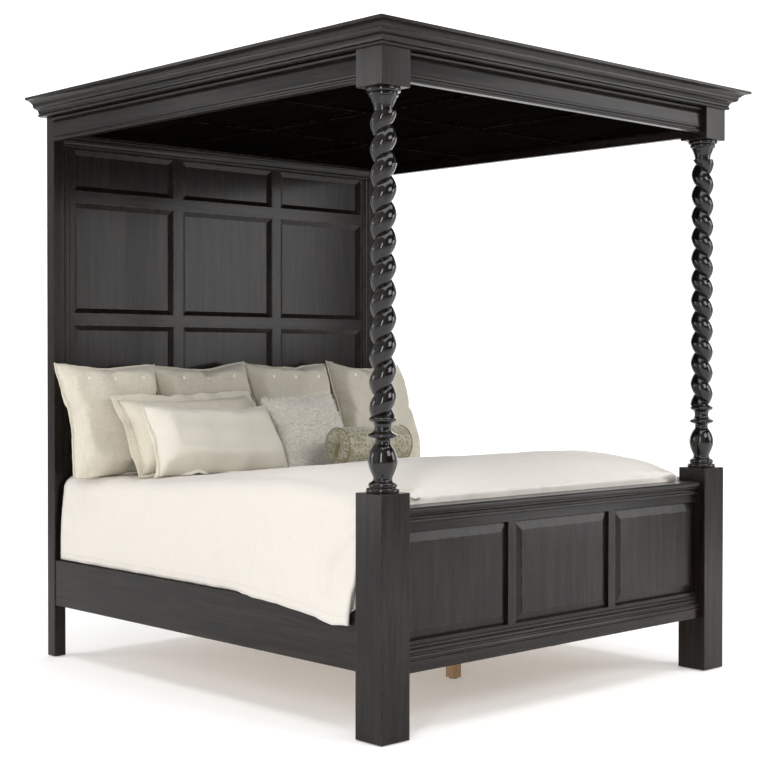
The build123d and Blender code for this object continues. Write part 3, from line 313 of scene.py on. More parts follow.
def use(tree, group, values):
    """Places a shader node group and sets or links its inputs."""
    made = tree.nodes.new("ShaderNodeGroup")
    made.node_tree = group
    for socket, value in values.items():
        if isinstance(value, bpy.types.NodeSocket):
            tree.links.new(value, made.inputs[socket])
        else:
            made.inputs[socket].default_value = value
    return made.outputs


def new_material(name, colour):
    """A material with only a Principled shader; colour is what the viewport shows."""
    made = bpy.data.materials.new(name)
    made.use_nodes = True
    made.diffuse_color = (*colour, 1)
    return made, made.node_tree, made.node_tree.nodes["Principled BSDF"]


# ------------------------------------------------------------------ wood
def stained_wood(name, along, gloss=False, tones=None, dust=0.10, worn=0.75, matt=False):
    """Dark stained wood with its grain along one axis, eased and rubbed at the edges."""
    if name in bpy.data.materials:
        return bpy.data.materials[name]
    wood = bpy.context.scene.bed_wood
    dark, light = tones or (tuple(wood.dark), tuple(wood.light))
    made, tree, shader = new_material(name, light)
    place = put(tree, "ShaderNodeTexCoord").outputs["Object"]
    stretch = [46.0, 46.0, 46.0]
    stretch["XYZ".index(along)] = 2.4
    grain = use(tree, grain_group(), {
        "Vector": put(tree, "ShaderNodeMapping", {"Vector": place, "Scale": stretch}).outputs[0],
        "Dark": (*dark, 1), "Light": (*light, 1), "Roughness": wood.gloss if gloss else wood.satin})
    edge = use(tree, edge_group(), {"Vector": place, "Radius": wood.ease, "Amount": worn})
    rubbed = blend_colour(tree, edge["Mask"], grain["Color"], (*wood.rubbed, 1))
    top = use(tree, dust_group(), {"Vector": place, "Color": rubbed, "Roughness": grain["Roughness"],
                                   "Amount": dust})
    tree.links.new(top["Color"], shader.inputs["Base Color"])
    tree.links.new(top["Roughness"], shader.inputs["Roughness"])
    bump = put(tree, "ShaderNodeBump", {"Height": grain["Height"], "Normal": edge["Normal"],
                                        "Strength": 0.10 if gloss else 0.32, "Distance": 0.0009})
    tree.links.new(bump.outputs[0], shader.inputs["Normal"])
    coat, level = (0.0, 0.0) if matt else (0.75, 0.10) if gloss else (0.30, 0.12)
    shader.inputs["Coat Weight"].default_value = coat
    shader.inputs["Coat Roughness"].default_value = 0.05 if gloss else 0.16
    shader.inputs["Specular IOR Level"].default_value = level
    return made


def planed_pine(name, along):
    """Unfinished softwood for the slats and what carries them."""
    return stained_wood(name, along, tones=((0.36, 0.22, 0.11), (0.62, 0.44, 0.26)), dust=0.05, worn=0.1)


def dull_metal(name):
    """Zinc plate with fine streaks."""
    made, tree, shader = new_material(name, (0.45, 0.45, 0.46))
    place = put(tree, "ShaderNodeTexCoord").outputs["Object"]
    drawn = put(tree, "ShaderNodeMapping", {"Vector": place, "Scale": (300, 300, 12)})
    streak = put(tree, "ShaderNodeTexNoise", {"Vector": drawn.outputs[0], "Scale": 1.0, "Detail": 4.0})
    tone = blend_colour(tree, streak.outputs["Fac"], (0.34, 0.34, 0.35, 1), (0.56, 0.56, 0.57, 1))
    tree.links.new(tone, shader.inputs["Base Color"])
    tree.links.new(sums(tree, "MULTIPLY_ADD", streak.outputs["Fac"], 0.25, 0.28), shader.inputs["Roughness"])
    shader.inputs["Metallic"].default_value = 1.0
    return made


def moulded_plastic(name, colour, scale=240.0):
    """Plastic with a fine moulded texture."""
    made, tree, shader = new_material(name, colour)
    place = put(tree, "ShaderNodeTexCoord").outputs["Object"]
    speck = put(tree, "ShaderNodeTexNoise", {"Vector": place, "Scale": scale, "Detail": 3.0})
    darker = tuple(c * 0.8 for c in colour)
    tone = blend_colour(tree, speck.outputs["Fac"], (*darker, 1), (*colour, 1))
    tree.links.new(tone, shader.inputs["Base Color"])
    tree.links.new(sums(tree, "MULTIPLY_ADD", speck.outputs["Fac"], 0.2, 0.45), shader.inputs["Roughness"])
    bump = put(tree, "ShaderNodeBump", {"Height": speck.outputs["Fac"], "Strength": 0.2, "Distance": 0.0004})
    tree.links.new(bump.outputs[0], shader.inputs["Normal"])
    return made


# ------------------------------------------------------------------ cloth
def linen(name, colour, slub=0.5, thread=None, sheen=0.25, deep=0.78, crease=1.0, uneven=11.0):
    """Washed linen: uneven threads, soft creases with painted shade along them and a little sheen, on the
    piece's own cloth coordinates.
    """
    if name in bpy.data.materials:
        return bpy.data.materials[name]
    cloth = bpy.context.scene.bed_linen
    made, tree, shader = new_material(name, colour)
    flat = put(tree, "ShaderNodeUVMap", uv_map="cloth").outputs[0]
    threads = use(tree, weave_group(), {"Vector": flat, "Thread": thread or cloth.thread, "Slub": slub})
    creases = use(tree, crease_group(), {"Vector": flat, "Scale": uneven})
    shaded = blend_colour(tree, threads["Shade"], (*colour, 1), (*(c * deep for c in colour), 1))
    # Painted shade: the colour darkens towards 0.84 of itself along the creases.
    darker = (*(c * 0.84 for c in colour), 1)
    crease_shaded_colour = blend_colour(tree, sums(tree, "MULTIPLY", creases["Shade"], 0.22), shaded, darker)
    tree.links.new(crease_shaded_colour, shader.inputs["Base Color"])
    tree.links.new(sums(tree, "MULTIPLY_ADD", threads["Shade"], 0.12, 0.78), shader.inputs["Roughness"])
    folds = put(tree, "ShaderNodeBump",
                {"Height": creases["Height"], "Strength": 0.55 * crease, "Distance": cloth.crumple})
    weave = put(tree, "ShaderNodeBump",
                {"Height": threads["Height"], "Normal": folds.outputs[0], "Strength": 0.35,
                 "Distance": 0.0005})
    tree.links.new(weave.outputs[0], shader.inputs["Normal"])
    shader.inputs["Sheen Weight"].default_value = sheen
    shader.inputs["Sheen Roughness"].default_value = 0.45
    shader.inputs["Specular IOR Level"].default_value = 0.25
    return made


def figured_cloth(name):
    """Small leafy figure woven in olive on beige, with a slight lustre."""
    if name in bpy.data.materials:
        return bpy.data.materials[name]
    made, tree, shader = new_material(name, (0.40, 0.37, 0.25))
    flat = put(tree, "ShaderNodeUVMap", uv_map="cloth").outputs[0]
    threads = use(tree, weave_group(), {"Vector": flat, "Thread": 0.0012, "Slub": 0.4})
    swirl = put(tree, "ShaderNodeTexNoise", {"Vector": flat, "Scale": 26.0, "Detail": 1.0, "Distortion": 2.2})
    leaf = put(tree, "ShaderNodeTexVoronoi", {"Vector": flat, "Scale": 42.0, "Randomness": 0.55},
               feature="DISTANCE_TO_EDGE")
    figure = put(tree, "ShaderNodeMapRange",
                 {0: sums(tree, "MULTIPLY_ADD", leaf.outputs["Distance"], 1.4, swirl.outputs["Fac"]),
                  1: 0.62, 2: 0.74, 3: 0.0, 4: 1.0})
    ground = blend_colour(tree, threads["Shade"], (0.60, 0.56, 0.45, 1), (0.44, 0.40, 0.30, 1))
    tone = blend_colour(tree, figure.outputs[0], ground, (0.31, 0.29, 0.17, 1))
    tree.links.new(tone, shader.inputs["Base Color"])
    tree.links.new(sums(tree, "MULTIPLY_ADD", figure.outputs[0], -0.22, 0.66), shader.inputs["Roughness"])
    raised = sums(tree, "MULTIPLY_ADD", threads["Height"], 0.25, figure.outputs[0])
    bump = put(tree, "ShaderNodeBump", {"Height": raised, "Strength": 0.5, "Distance": 0.0009})
    tree.links.new(bump.outputs[0], shader.inputs["Normal"])
    shader.inputs["Sheen Weight"].default_value = 0.35
    return made


def pile_cloth(name, colour):
    """Short curly pile, with a patchy tone."""
    if name in bpy.data.materials:
        return bpy.data.materials[name]
    made, tree, shader = new_material(name, colour)
    place = put(tree, "ShaderNodeTexCoord").outputs["Object"]
    lock = put(tree, "ShaderNodeTexNoise", {"Vector": place, "Scale": 70.0, "Detail": 4.0, "Distortion": 1.0})
    tone = blend_colour(tree, lock.outputs["Fac"], (*(c * 0.80 for c in colour), 1), (*colour, 1))
    tree.links.new(tone, shader.inputs["Base Color"])
    tree.links.new(sums(tree, "MULTIPLY_ADD", lock.outputs["Fac"], 0.15, 0.75), shader.inputs["Roughness"])
    bump = put(tree, "ShaderNodeBump", {"Height": lock.outputs["Fac"], "Strength": 0.8, "Distance": 0.003})
    tree.links.new(bump.outputs[0], shader.inputs["Normal"])
    shader.inputs["Sheen Weight"].default_value = 0.5
    shader.inputs["Sheen Roughness"].default_value = 0.6
    return made


# ------------------------------------------------------------------ mesh helpers
def mesh_piece(name, points, faces, material, cloth=None, smooth=True):
    """A mesh object at the origin; cloth gives each point's place on the flat cloth, in metres."""
    mesh = bpy.data.meshes.new(name)
    mesh.from_pydata([tuple(p) for p in points], [], [tuple(f) for f in faces])
    if cloth is not None:
        layer = mesh.uv_layers.new(name="cloth")
        corner = np.zeros(len(mesh.loops), np.int32)
        mesh.loops.foreach_get("vertex_index", corner)
        layer.data.foreach_set("uv", np.asarray(cloth, np.float32)[corner].ravel())
    mesh.polygons.foreach_set("use_smooth", [smooth] * len(mesh.polygons))
    mesh.materials.append(material)
    made = bpy.data.objects.new(name, mesh)
    bpy.context.scene.collection.objects.link(made)
    return made


def grid_faces(rows, columns, closed=False, offset=0):
    """Quads between neighbours in a grid of points, row after row."""
    found = []
    for r in range(rows - 1):
        for c in range(columns if closed else columns - 1):
            n = (c + 1) % columns
            a, b = offset + r * columns, offset + (r + 1) * columns
            found.append((a + c, a + n, b + n, b + c))
    return found


def rim_of(columns, rows):
    """Numbers of the points round the edge of a grid, in order."""
    edge = [(0, c) for c in range(columns)] + [(r, columns - 1) for r in range(1, rows)]
    edge += [(rows - 1, c) for c in range(columns - 2, -1, -1)] + [(r, 0) for r in range(rows - 2, 0, -1)]
    return [r * columns + c for r, c in edge]


def points_of(piece):
    """The piece's vertices as an array."""
    found = np.zeros(len(piece.data.vertices) * 3, np.float32)
    piece.data.vertices.foreach_get("co", found)
    return found.reshape(-1, 3).astype(float)


def move_points(piece, points):
    """Puts the piece's vertices at new places."""
    piece.data.vertices.foreach_set("co", np.asarray(points, np.float32).ravel())
    piece.data.update()


def outward(piece):
    """Closes doubles and turns every face outwards."""
    work = bmesh.new()
    work.from_mesh(piece.data)
    bmesh.ops.remove_doubles(work, verts=work.verts, dist=1e-6)
    bmesh.ops.recalc_face_normals(work, faces=work.faces)
    work.to_mesh(piece.data)
    work.free()


def bake(piece):
    """Turns what the piece's modifiers make into a plain mesh and removes them."""
    bpy.context.view_layer.update()
    seen = piece.evaluated_get(bpy.context.evaluated_depsgraph_get())
    mesh = bpy.data.meshes.new_from_object(seen)
    piece.modifiers.clear()
    piece.data = mesh
    return piece


def smoothstep(low, high, value):
    """0 below low, 1 above high, and a smooth rise between them."""
    share = np.clip((np.asarray(value, float) - low) / (high - low), 0, 1)
    return share * share * (3 - 2 * share)


class Ripple:
    """Seeded smooth noise made of a few waves in two directions."""

    def __init__(self, seed, length, waves=7):
        pick = np.random.default_rng(seed)
        turn = pick.uniform(0, 2 * math.pi, waves)
        rate = 2 * math.pi / (length * pick.uniform(0.6, 1.7, waves))
        self.rate = np.stack([np.cos(turn) * rate, np.sin(turn) * rate], 1)
        self.start = pick.uniform(0, 2 * math.pi, waves)
        self.share = pick.uniform(0.5, 1.0, waves) / waves * 1.6

    def at(self, x, y):
        x, y = np.asarray(x, float)[..., None], np.asarray(y, float)[..., None]
        return (np.sin(x * self.rate[:, 0] + y * self.rate[:, 1] + self.start) * self.share).sum(-1)


def end_tree(tree, given, out, last, smooth=False):
    """Ends a Geometry Nodes tree: one plain mesh, smooth if asked, in the finish it is given."""
    whole = put(tree, "GeometryNodeRealizeInstances", {"Geometry": last}).outputs[0]
    if smooth:
        whole = put(tree, "GeometryNodeSetShadeSmooth", {"Geometry": whole}).outputs[0]
    done = put(tree, "GeometryNodeSetMaterial", {"Geometry": whole, "Material": given["Finish"]})
    tree.links.new(done.outputs[0], out.inputs["Geometry"])
    return tree


def tree_input(tree, label):
    """The identifier of a node tree's named input."""
    return next(s.identifier for s in tree.interface.items_tree
                if s.item_type == "SOCKET" and s.in_out == "INPUT" and s.name == label)


def grow(piece, tree, values):
    """Runs a Geometry Nodes tree on the piece and keeps its result as a plain mesh."""
    grower = piece.modifiers.new("grow", "NODES")
    grower.node_group = tree
    for label, value in values.items():
        grower[tree_input(tree, label)] = value
    bake(piece)
    piece.data.materials.clear()
    piece.data.materials.append(values["Finish"])
    piece.data.polygons.foreach_set("material_index", [0] * len(piece.data.polygons))
    return piece


def settle(piece, slot, *nodes):
    """Rides the piece on the bed and hides the nodes it stands for."""
    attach(piece, "root")
    if nodes:
        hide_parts(*nodes)


# ------------------------------------------------------------------ stage
class BED_OT_stage(bpy.types.Operator):
    """Makes the floor, the soft studio lights and the camera"""

    bl_idname = "bed.stage"
    bl_label = "Set the stage"

    # The camera looks from the left of the foot: turn, tilt and roll in degrees, then its place.
    YAW, PITCH, ROLL = 46.625, -0.9406, 0.068
    CAMERA_PLACE = (-4.7413, -5.0601, 1.3720)

    def execute(self, context):
        look = context.scene.bed_stage
        span, rise = 14.0, 9.0
        profile = [(-span, 0.0), (span * 0.6, 0.0)]
        for step in range(1, 13):
            turn = step / 12 * math.pi / 2
            profile.append((span * 0.6 + 4 * math.sin(turn), 4 - 4 * math.cos(turn)))
        profile.append((span * 0.6 + 4, rise + 4))
        ahead = Vector((0.727, 0.687, 0)).normalized()
        side = Vector((ahead.y, -ahead.x, 0))
        points, width = [], 22.0
        for along, height in profile:
            for across in (-width, width):
                points.append(ahead * along + side * across + Vector((0, 0, height)))
        made, tree, shader = new_material("studio_floor", tuple(look.floor))
        spread = put(tree, "ShaderNodeTexCoord").outputs["Object"]
        speck = put(tree, "ShaderNodeTexNoise", {"Vector": spread, "Scale": 3.0, "Detail": 2.0})
        near = tuple(look.floor)
        tone = blend_colour(tree, speck.outputs["Fac"], (*near, 1), (*(min(c * 1.02, 1) for c in near), 1))
        tree.links.new(tone, shader.inputs["Base Color"])
        shader.inputs["Roughness"].default_value = 0.9
        shader.inputs["Specular IOR Level"].default_value = 0.1
        # A faint glow of its own keeps the shadow under the bed light.
        shader.inputs["Emission Color"].default_value = (1.0, 0.99, 0.97, 1)
        shader.inputs["Emission Strength"].default_value = 0.22
        floor = mesh_piece("studio_floor", points, grid_faces(len(profile), 2), made)

        world = context.scene.world or bpy.data.worlds.new("studio")
        context.scene.world = world
        world.use_nodes = True
        sky, glow = world.node_tree, world.node_tree.nodes["Background"]
        # The studio is darker towards its open side, at the right of the foot of the bed.
        facing = put(sky, "ShaderNodeVectorMath",
                     {0: put(sky, "ShaderNodeTexCoord").outputs["Generated"], 1: (0.70, -0.70, 0.12)},
                     operation="DOT_PRODUCT")
        shade = put(sky, "ShaderNodeMapRange", {0: facing.outputs["Value"], 1: 0.0, 2: 0.75, 3: 1.0, 4: 0.12},
                    interpolation_type="SMOOTHSTEP")
        sky.links.new(sums(sky, "MULTIPLY", shade.outputs[0], 0.50), glow.inputs["Strength"])
        glow.inputs["Color"].default_value = (1.0, 1.0, 1.0, 1)

        # Each lamp's name, place, width and height, power, and what it points at.
        centre = Vector((0, 0, 1.1))
        for name, place, size, power, aim in (
            ("key_left", (-5.6, 0.4, 2.6), (3.2, 3.6), look.key, centre),
            ("strip_left", (-4.6, -3.4, 2.4), (0.35, 3.4), 70, Vector((-0.9, -1.0, 1.3))),
            ("front_top", (0.6, -6.2, 4.4), (3.0, 2.0), 110, Vector((0, -1.0, 0.9))),
            ("low_left", (-4.9, 3.3, 1.1), (1.5, 1.9), 20, Vector((-1.0, -0.6, 0.7))),
            ("high_left", (-5.2, 4.2, 3.0), (2.2, 1.6), 42, Vector((-1.0, 0.3, 2.0))),
            ("low_front", (3.4, -4.0, 0.8), (1.1, 1.3), 10, Vector((0.2, -1.1, 0.6))),
            ("right_front", (3.9, -4.4, 2.6), (2.4, 2.4), 80, Vector((0, 1.0, 1.0))),
            ("wall_wash", ahead * 7.5 + Vector((0, 0, 7.0)), (20.0, 4.0), 700,
             ahead * 12.6 + Vector((0, 0, 4.2))),
            ("overhead", (0.0, -0.5, 6.2), (7.0, 7.0), 430, Vector((0, 0, 0))),
        ):
            lamp = bpy.data.lights.new(name, "AREA")
            lamp.shape = "RECTANGLE"
            lamp.size, lamp.size_y = size
            lamp.energy = power
            holder = bpy.data.objects.new(name, lamp)
            holder.location = place
            holder.rotation_euler = (aim - Vector(place)).to_track_quat("-Z", "Y").to_euler()
            context.scene.collection.objects.link(holder)

        lens = bpy.data.cameras.new("camera")
        lens.lens, lens.sensor_width = look.focal, 36.0
        lens.clip_end = 200
        camera = bpy.data.objects.new("camera", lens)
        yaw, pitch, roll = (math.radians(a) for a in (self.YAW, self.PITCH, self.ROLL))
        forward = Vector((math.cos(yaw) * math.cos(pitch), math.sin(yaw) * math.cos(pitch), math.sin(pitch)))
        right = Vector((math.sin(yaw), -math.cos(yaw), 0))
        up = right.cross(forward)
        right, up = (right * math.cos(roll) + up * math.sin(roll),
                     up * math.cos(roll) - right * math.sin(roll))
        turn = Matrix((right, up, -forward)).transposed()
        camera.matrix_world = Matrix.Translation(self.CAMERA_PLACE) @ turn.to_4x4()
        context.scene.collection.objects.link(camera)
        context.scene.camera = camera
        context.scene.view_settings.view_transform = "Standard"
        return {"FINISHED"}


# ------------------------------------------------------------------ frame finishes
class BED_OT_frame(bpy.types.Operator):
    """Stains the posts, panels and mouldings, and finishes the slats and fittings"""

    bl_idname = "bed.frame"
    bl_label = "Finish the frame"

    UPRIGHT = ("foot_post", "head_post", "headboard_stile", "headboard_muntins", "headboard_panels",
               "headboard_edge", "headboard_panel_beads", "footboard_muntins", "footboard_panels",
               "tester_block")
    ACROSS = ("headboard_bottom", "headboard_cross", "headboard_top", "footboard_", "tester_frieze_front",
              "tester_frieze_back", "tester_back", "cornice_front")
    LONG = ("side_rail", "tester_frieze_left", "tester_frieze_right", "cornice_left", "cornice_right")
    # The ceiling's stain is a darker, matt copy of the others: painted shade for the dark inside of the
    # tester.
    CEILING_SHADE_TONES = ((0.0015, 0.0012, 0.0010), (0.0050, 0.0042, 0.0034))

    def execute(self, context):
        for name, node in frame["nodes"].items():
            if name.startswith("ceiling_"):
                # Painted shade: the ceiling gets the darker, matt copy of the stain.
                finish = stained_wood("ceiling_stain", "Y", tones=self.CEILING_SHADE_TONES, matt=True)
            elif name in ("slats", "tester_dowels"):
                finish = planed_pine("pine_across", "X")
            elif name in ("centre_beam", "rail_cleats"):
                finish = planed_pine("pine_long", "Y")
            elif name == "centre_legs":
                finish = planed_pine("pine_upright", "Z")
            elif name in ("rail_hook_plates", "post_slot_plates", "plate_screws"):
                finish = bpy.data.materials.get("dull_metal") or dull_metal("dull_metal")
            elif name == "floor_glides":
                finish = moulded_plastic("glide_plastic", (0.05, 0.05, 0.05))
            elif name.startswith(self.UPRIGHT):
                finish = stained_wood("stain_upright", "Z")
            elif name.startswith(self.ACROSS):
                finish = stained_wood("stain_across", "X")
            elif name.startswith(self.LONG):
                finish = stained_wood("stain_long", "Y")
            else:
                continue
            node.data.materials.clear()
            node.data.materials.append(finish)
        return {"FINISHED"}


# ------------------------------------------------------------------ turned columns
def lathe(profile, sides, centre, offset):
    """Rings of a turned shape about an upright axis, closed at both ends."""
    smooth = []
    for n in range(len(profile) - 1):
        before, a, b, after = (np.array(profile[max(0, min(len(profile) - 1, n + k))]) for k in (-1, 0, 1, 2))
        for t in (0, 0.34, 0.67):
            curve = 0.5 * (2 * a + (b - before) * t + (2 * before - 5 * a + 4 * b - after) * t * t
                           + (3 * a - before - 3 * b + after) * t ** 3)
            low, high = np.minimum(a, b), np.maximum(a, b)
            smooth.append(np.clip(curve, low, high))
    smooth.append(np.array(profile[-1]))
    points = [(centre.x, centre.y, centre.z + smooth[0][1])]
    for radius, height in smooth:
        for s in range(sides):
            turn = 2 * math.pi * s / sides
            reach = max(radius, 1e-5)
            points.append((centre.x + reach * math.cos(turn), centre.y + reach * math.sin(turn),
                           centre.z + height))
    points.append((centre.x, centre.y, centre.z + smooth[-1][1]))
    faces = grid_faces(len(smooth), sides, True, offset + 1)
    last = offset + len(points) - 1
    for s in range(sides):
        n = (s + 1) % sides
        faces.append((offset, offset + 1 + n, offset + 1 + s))
        faces.append((last, last - sides + s, last - sides + n))
    return points, faces


def twist_tree():
    """Geometry Nodes: one rounded strand wound about an upright axis, with a narrow groove between turns."""
    if "Barley twist" in bpy.data.node_groups:
        return bpy.data.node_groups["Barley twist"]
    tree, given, out = new_group(
        "Barley twist", "GeometryNodeTree",
        [("Geometry", "NodeSocketGeometry", None), ("Length", "NodeSocketFloat", 1.0),
         ("Turns", "NodeSocketFloat", 10.0), ("Crest", "NodeSocketFloat", 0.05),
         ("Groove", "NodeSocketFloat", 0.03), ("Hand", "NodeSocketFloat", 1.0),
         ("Start", "NodeSocketFloat", 0.0), ("Foot", "NodeSocketVector", None),
         ("Sides", "NodeSocketInt", 64), ("Rings", "NodeSocketInt", 360),
         ("Finish", "NodeSocketMaterial", None)],
        [("Geometry", "NodeSocketGeometry")])
    sheath = put(tree, "GeometryNodeMeshCylinder",
                 {"Vertices": given["Sides"], "Side Segments": given["Rings"], "Radius": 1.0,
                  "Depth": given["Length"]}, fill_type="NONE")
    at = put(tree, "ShaderNodeSeparateXYZ", {0: put(tree, "GeometryNodeInputPosition").outputs[0]})
    height = sums(tree, "MULTIPLY_ADD", given["Length"], 0.5, at.outputs["Z"])
    round_turn = sums(tree, "ARCTAN2", at.outputs["Y"], at.outputs["X"])
    across = sums(tree, "ABSOLUTE", sums(tree, "DIVIDE", round_turn, math.pi))
    bulge = sums(tree, "POWER", sums(tree, "SUBTRACT", 1.0, sums(tree, "POWER", across, 1.55)), 0.66)
    depth = sums(tree, "SUBTRACT", given["Crest"], given["Groove"])
    radius = sums(tree, "MULTIPLY_ADD", bulge, depth, given["Groove"])
    wound = sums(tree, "MULTIPLY", sums(tree, "DIVIDE", height, given["Length"]),
                 sums(tree, "MULTIPLY", given["Turns"], 2 * math.pi))
    turn = sums(tree, "MULTIPLY_ADD", wound, given["Hand"], sums(tree, "ADD", round_turn, given["Start"]))
    place = put(tree, "ShaderNodeCombineXYZ",
                {0: sums(tree, "MULTIPLY", radius, sums(tree, "COSINE", turn)),
                 1: sums(tree, "MULTIPLY", radius, sums(tree, "SINE", turn)), 2: height})
    stood = put(tree, "ShaderNodeVectorMath", {0: place.outputs[0], 1: given["Foot"]}, operation="ADD")
    moved = put(tree, "GeometryNodeSetPosition",
                {"Geometry": sheath.outputs["Mesh"], "Position": stood.outputs[0]})
    return end_tree(tree, given, out, moved.outputs[0], smooth=True)


class BED_OT_columns(bpy.types.Operator):
    """Turns the two barley twist columns as a mirrored pair"""

    bl_idname = "bed.columns"
    bl_label = "Turn the columns"

    # Radius and height of the turned foot above the post, then of the capital below the tester block.
    VASE = ((0, 0), (0.056, 0), (0.0598, 0.003), (0.061, 0.0085), (0.0598, 0.014), (0.056, 0.017),
            (0.0497, 0.0185), (0.0515, 0.022), (0.0525, 0.027), (0.051, 0.0325), (0.046, 0.037),
            (0.039, 0.041), (0.0355, 0.046), (0.0345, 0.052), (0.037, 0.060), (0.043, 0.073),
            (0.0485, 0.088), (0.052, 0.101), (0.053, 0.113), (0.0515, 0.128), (0.047, 0.144),
            (0.0400, 0.159), (0.032, 0.170), (0.0285, 0.177), (0.0282, 0.184), (0.031, 0.190),
            (0.039, 0.194), (0.048, 0.198), (0.0526, 0.202), (0.053, 0.205), (0.0515, 0.2085),
            (0.045, 0.213), (0.037, 0.217), (0.0325, 0.222), (0.0305, 0.229), (0.0306, 0.237),
            (0.0325, 0.245), (0.037, 0.251), (0.045, 0.2555), (0.0492, 0.260), (0.0500, 0.2635),
            (0.0485, 0.267), (0.043, 0.2715), (0.035, 0.276), (0.0, 0.280))
    CAPITAL = ((0, -0.090), (0.033, -0.086), (0.0345, -0.075), (0.037, -0.063), (0.0415, -0.052),
               (0.046, -0.042), (0.0495, -0.034), (0.0535, -0.0315), (0.056, -0.026), (0.0555, -0.021),
               (0.052, -0.0175), (0.0595, -0.017), (0.0628, -0.014), (0.064, -0.0085), (0.0628, -0.003),
               (0.0595, 0.0), (0, 0.0))
    LAP = 0.006     # how far the strand runs into the turned ends

    def execute(self, context):
        work = context.scene.bed_column
        polish = stained_wood("polish", "Z", gloss=True, dust=0.05, worn=0.25,
                              tones=((0.0035, 0.003, 0.003), (0.012, 0.009, 0.008)))
        for side, hand, start in (("left", 1.0, 0.6), ("right", -1.0, 2.5)):
            low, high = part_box(f"column_{side}")
            foot = Vector(((low.x + high.x) / 2, (low.y + high.y) / 2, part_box(f"foot_post_{side}")[1].z))
            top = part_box(f"tester_block_{side}")[0].z - foot.z
            vase_top = self.VASE[-1][1] - self.LAP
            length = top + self.CAPITAL[0][1] + self.LAP - vase_top
            seed = mesh_piece(f"column_{side}_turned", [foot], [], polish)
            twist = grow(seed, twist_tree(), {
                "Length": length, "Turns": work.turns, "Crest": work.crest, "Groove": work.groove,
                "Hand": hand, "Start": start, "Foot": foot + Vector((0, 0, vase_top)),
                "Sides": 72, "Rings": 380, "Finish": polish})
            points, faces = lathe(self.VASE, 64, foot, 0)
            more, extra = lathe(self.CAPITAL, 64, foot + Vector((0, 0, top)), len(points))
            turned = mesh_piece("turned_ends", points + more, faces + extra, polish)
            work_mesh = bmesh.new()
            work_mesh.from_mesh(twist.data)
            work_mesh.from_mesh(turned.data)
            bmesh.ops.recalc_face_normals(work_mesh, faces=work_mesh.faces)
            for face in work_mesh.faces:
                face.smooth = True
                face.material_index = 0
            work_mesh.to_mesh(twist.data)
            work_mesh.free()
            bpy.data.objects.remove(turned)
            settle(twist, "wood_gloss", f"column_{side}")
        return {"FINISHED"}


# ------------------------------------------------------------------ the made-up bed
# Distance from the foot, and rise of the comforter's crown above the mattress.
CROWN = ((0.10, 0.012), (0.15, 0.034), (0.21, 0.056), (0.29, 0.080), (0.38, 0.098), (0.50, 0.112),
         (0.62, 0.117), (0.84, 0.098), (1.05, 0.077), (1.23, 0.058), (1.45, 0.034), (1.65, 0.014),
         (1.80, 0.004), (2.60, 0.004))
CROWN_ALONG = np.linspace(0.0, 2.6, 521)
CROWN_SPREAD = 12
CROWN_RISE = np.convolve(
    np.pad(np.interp(CROWN_ALONG, *zip(*CROWN)), CROWN_SPREAD, mode="edge"),
    np.ones(2 * CROWN_SPREAD + 1) / (2 * CROWN_SPREAD + 1), "valid")
COVER_HALF = MATTRESS_HIGH.x + 0.010


def cover_top(x, y):
    """Height of the coverlet's smooth top at a place on the bed."""
    x, y = np.asarray(x, float), np.asarray(y, float)
    inside = np.clip((COVER_HALF - np.abs(x)) / 0.19, 0, 1)
    crown = np.interp(y - FOOT, CROWN_ALONG, CROWN_RISE) * (1 - (1 - inside) ** 2.4)
    middle = 0.012 * (1 - (x / COVER_HALF) ** 2) * np.interp(y - FOOT, (0.2, 0.7, 1.6), (0.2, 1.0, 0.0))
    return MATTRESS_HIGH.z + 0.011 + crown + middle


def half_section(y, hem_x, hem_z, count):
    """Points from the middle of the bed out over one side to the hem, evenly spaced along the cloth."""
    turn = 0.065
    shoulder = COVER_HALF - turn
    flat = np.linspace(0, shoulder, 60)
    top = cover_top(flat, np.full(60, y))
    path = [np.stack([flat, top], 1)]
    angle = np.linspace(0, math.pi / 2, 12)[1:]
    path.append(np.stack([shoulder + turn * np.sin(angle), top[-1] - turn + turn * np.cos(angle)], 1))
    start = path[-1][-1]
    fall = np.linspace(0, 1, 30)[1:]
    swell = 0.007 * np.sin(fall * math.pi)
    path.append(np.stack([start[0] + (hem_x - start[0]) * fall ** 1.3 + swell,
                          start[1] + (hem_z - start[1]) * fall], 1))
    line = np.concatenate(path)
    run = np.concatenate([[0], np.cumsum(np.linalg.norm(np.diff(line, axis=0), axis=1))])
    want = np.linspace(0, run[-1], count)
    return np.stack([np.interp(want, run, line[:, 0]), np.interp(want, run, line[:, 1])], 1), run[-1]


def surface_normals(grid):
    """Unit normals of a grid of points, pointing up and out."""
    along, across = np.gradient(grid, axis=0), np.gradient(grid, axis=1)
    found = np.cross(across, along)
    return found / np.maximum(np.linalg.norm(found, axis=2, keepdims=True), 1e-9)


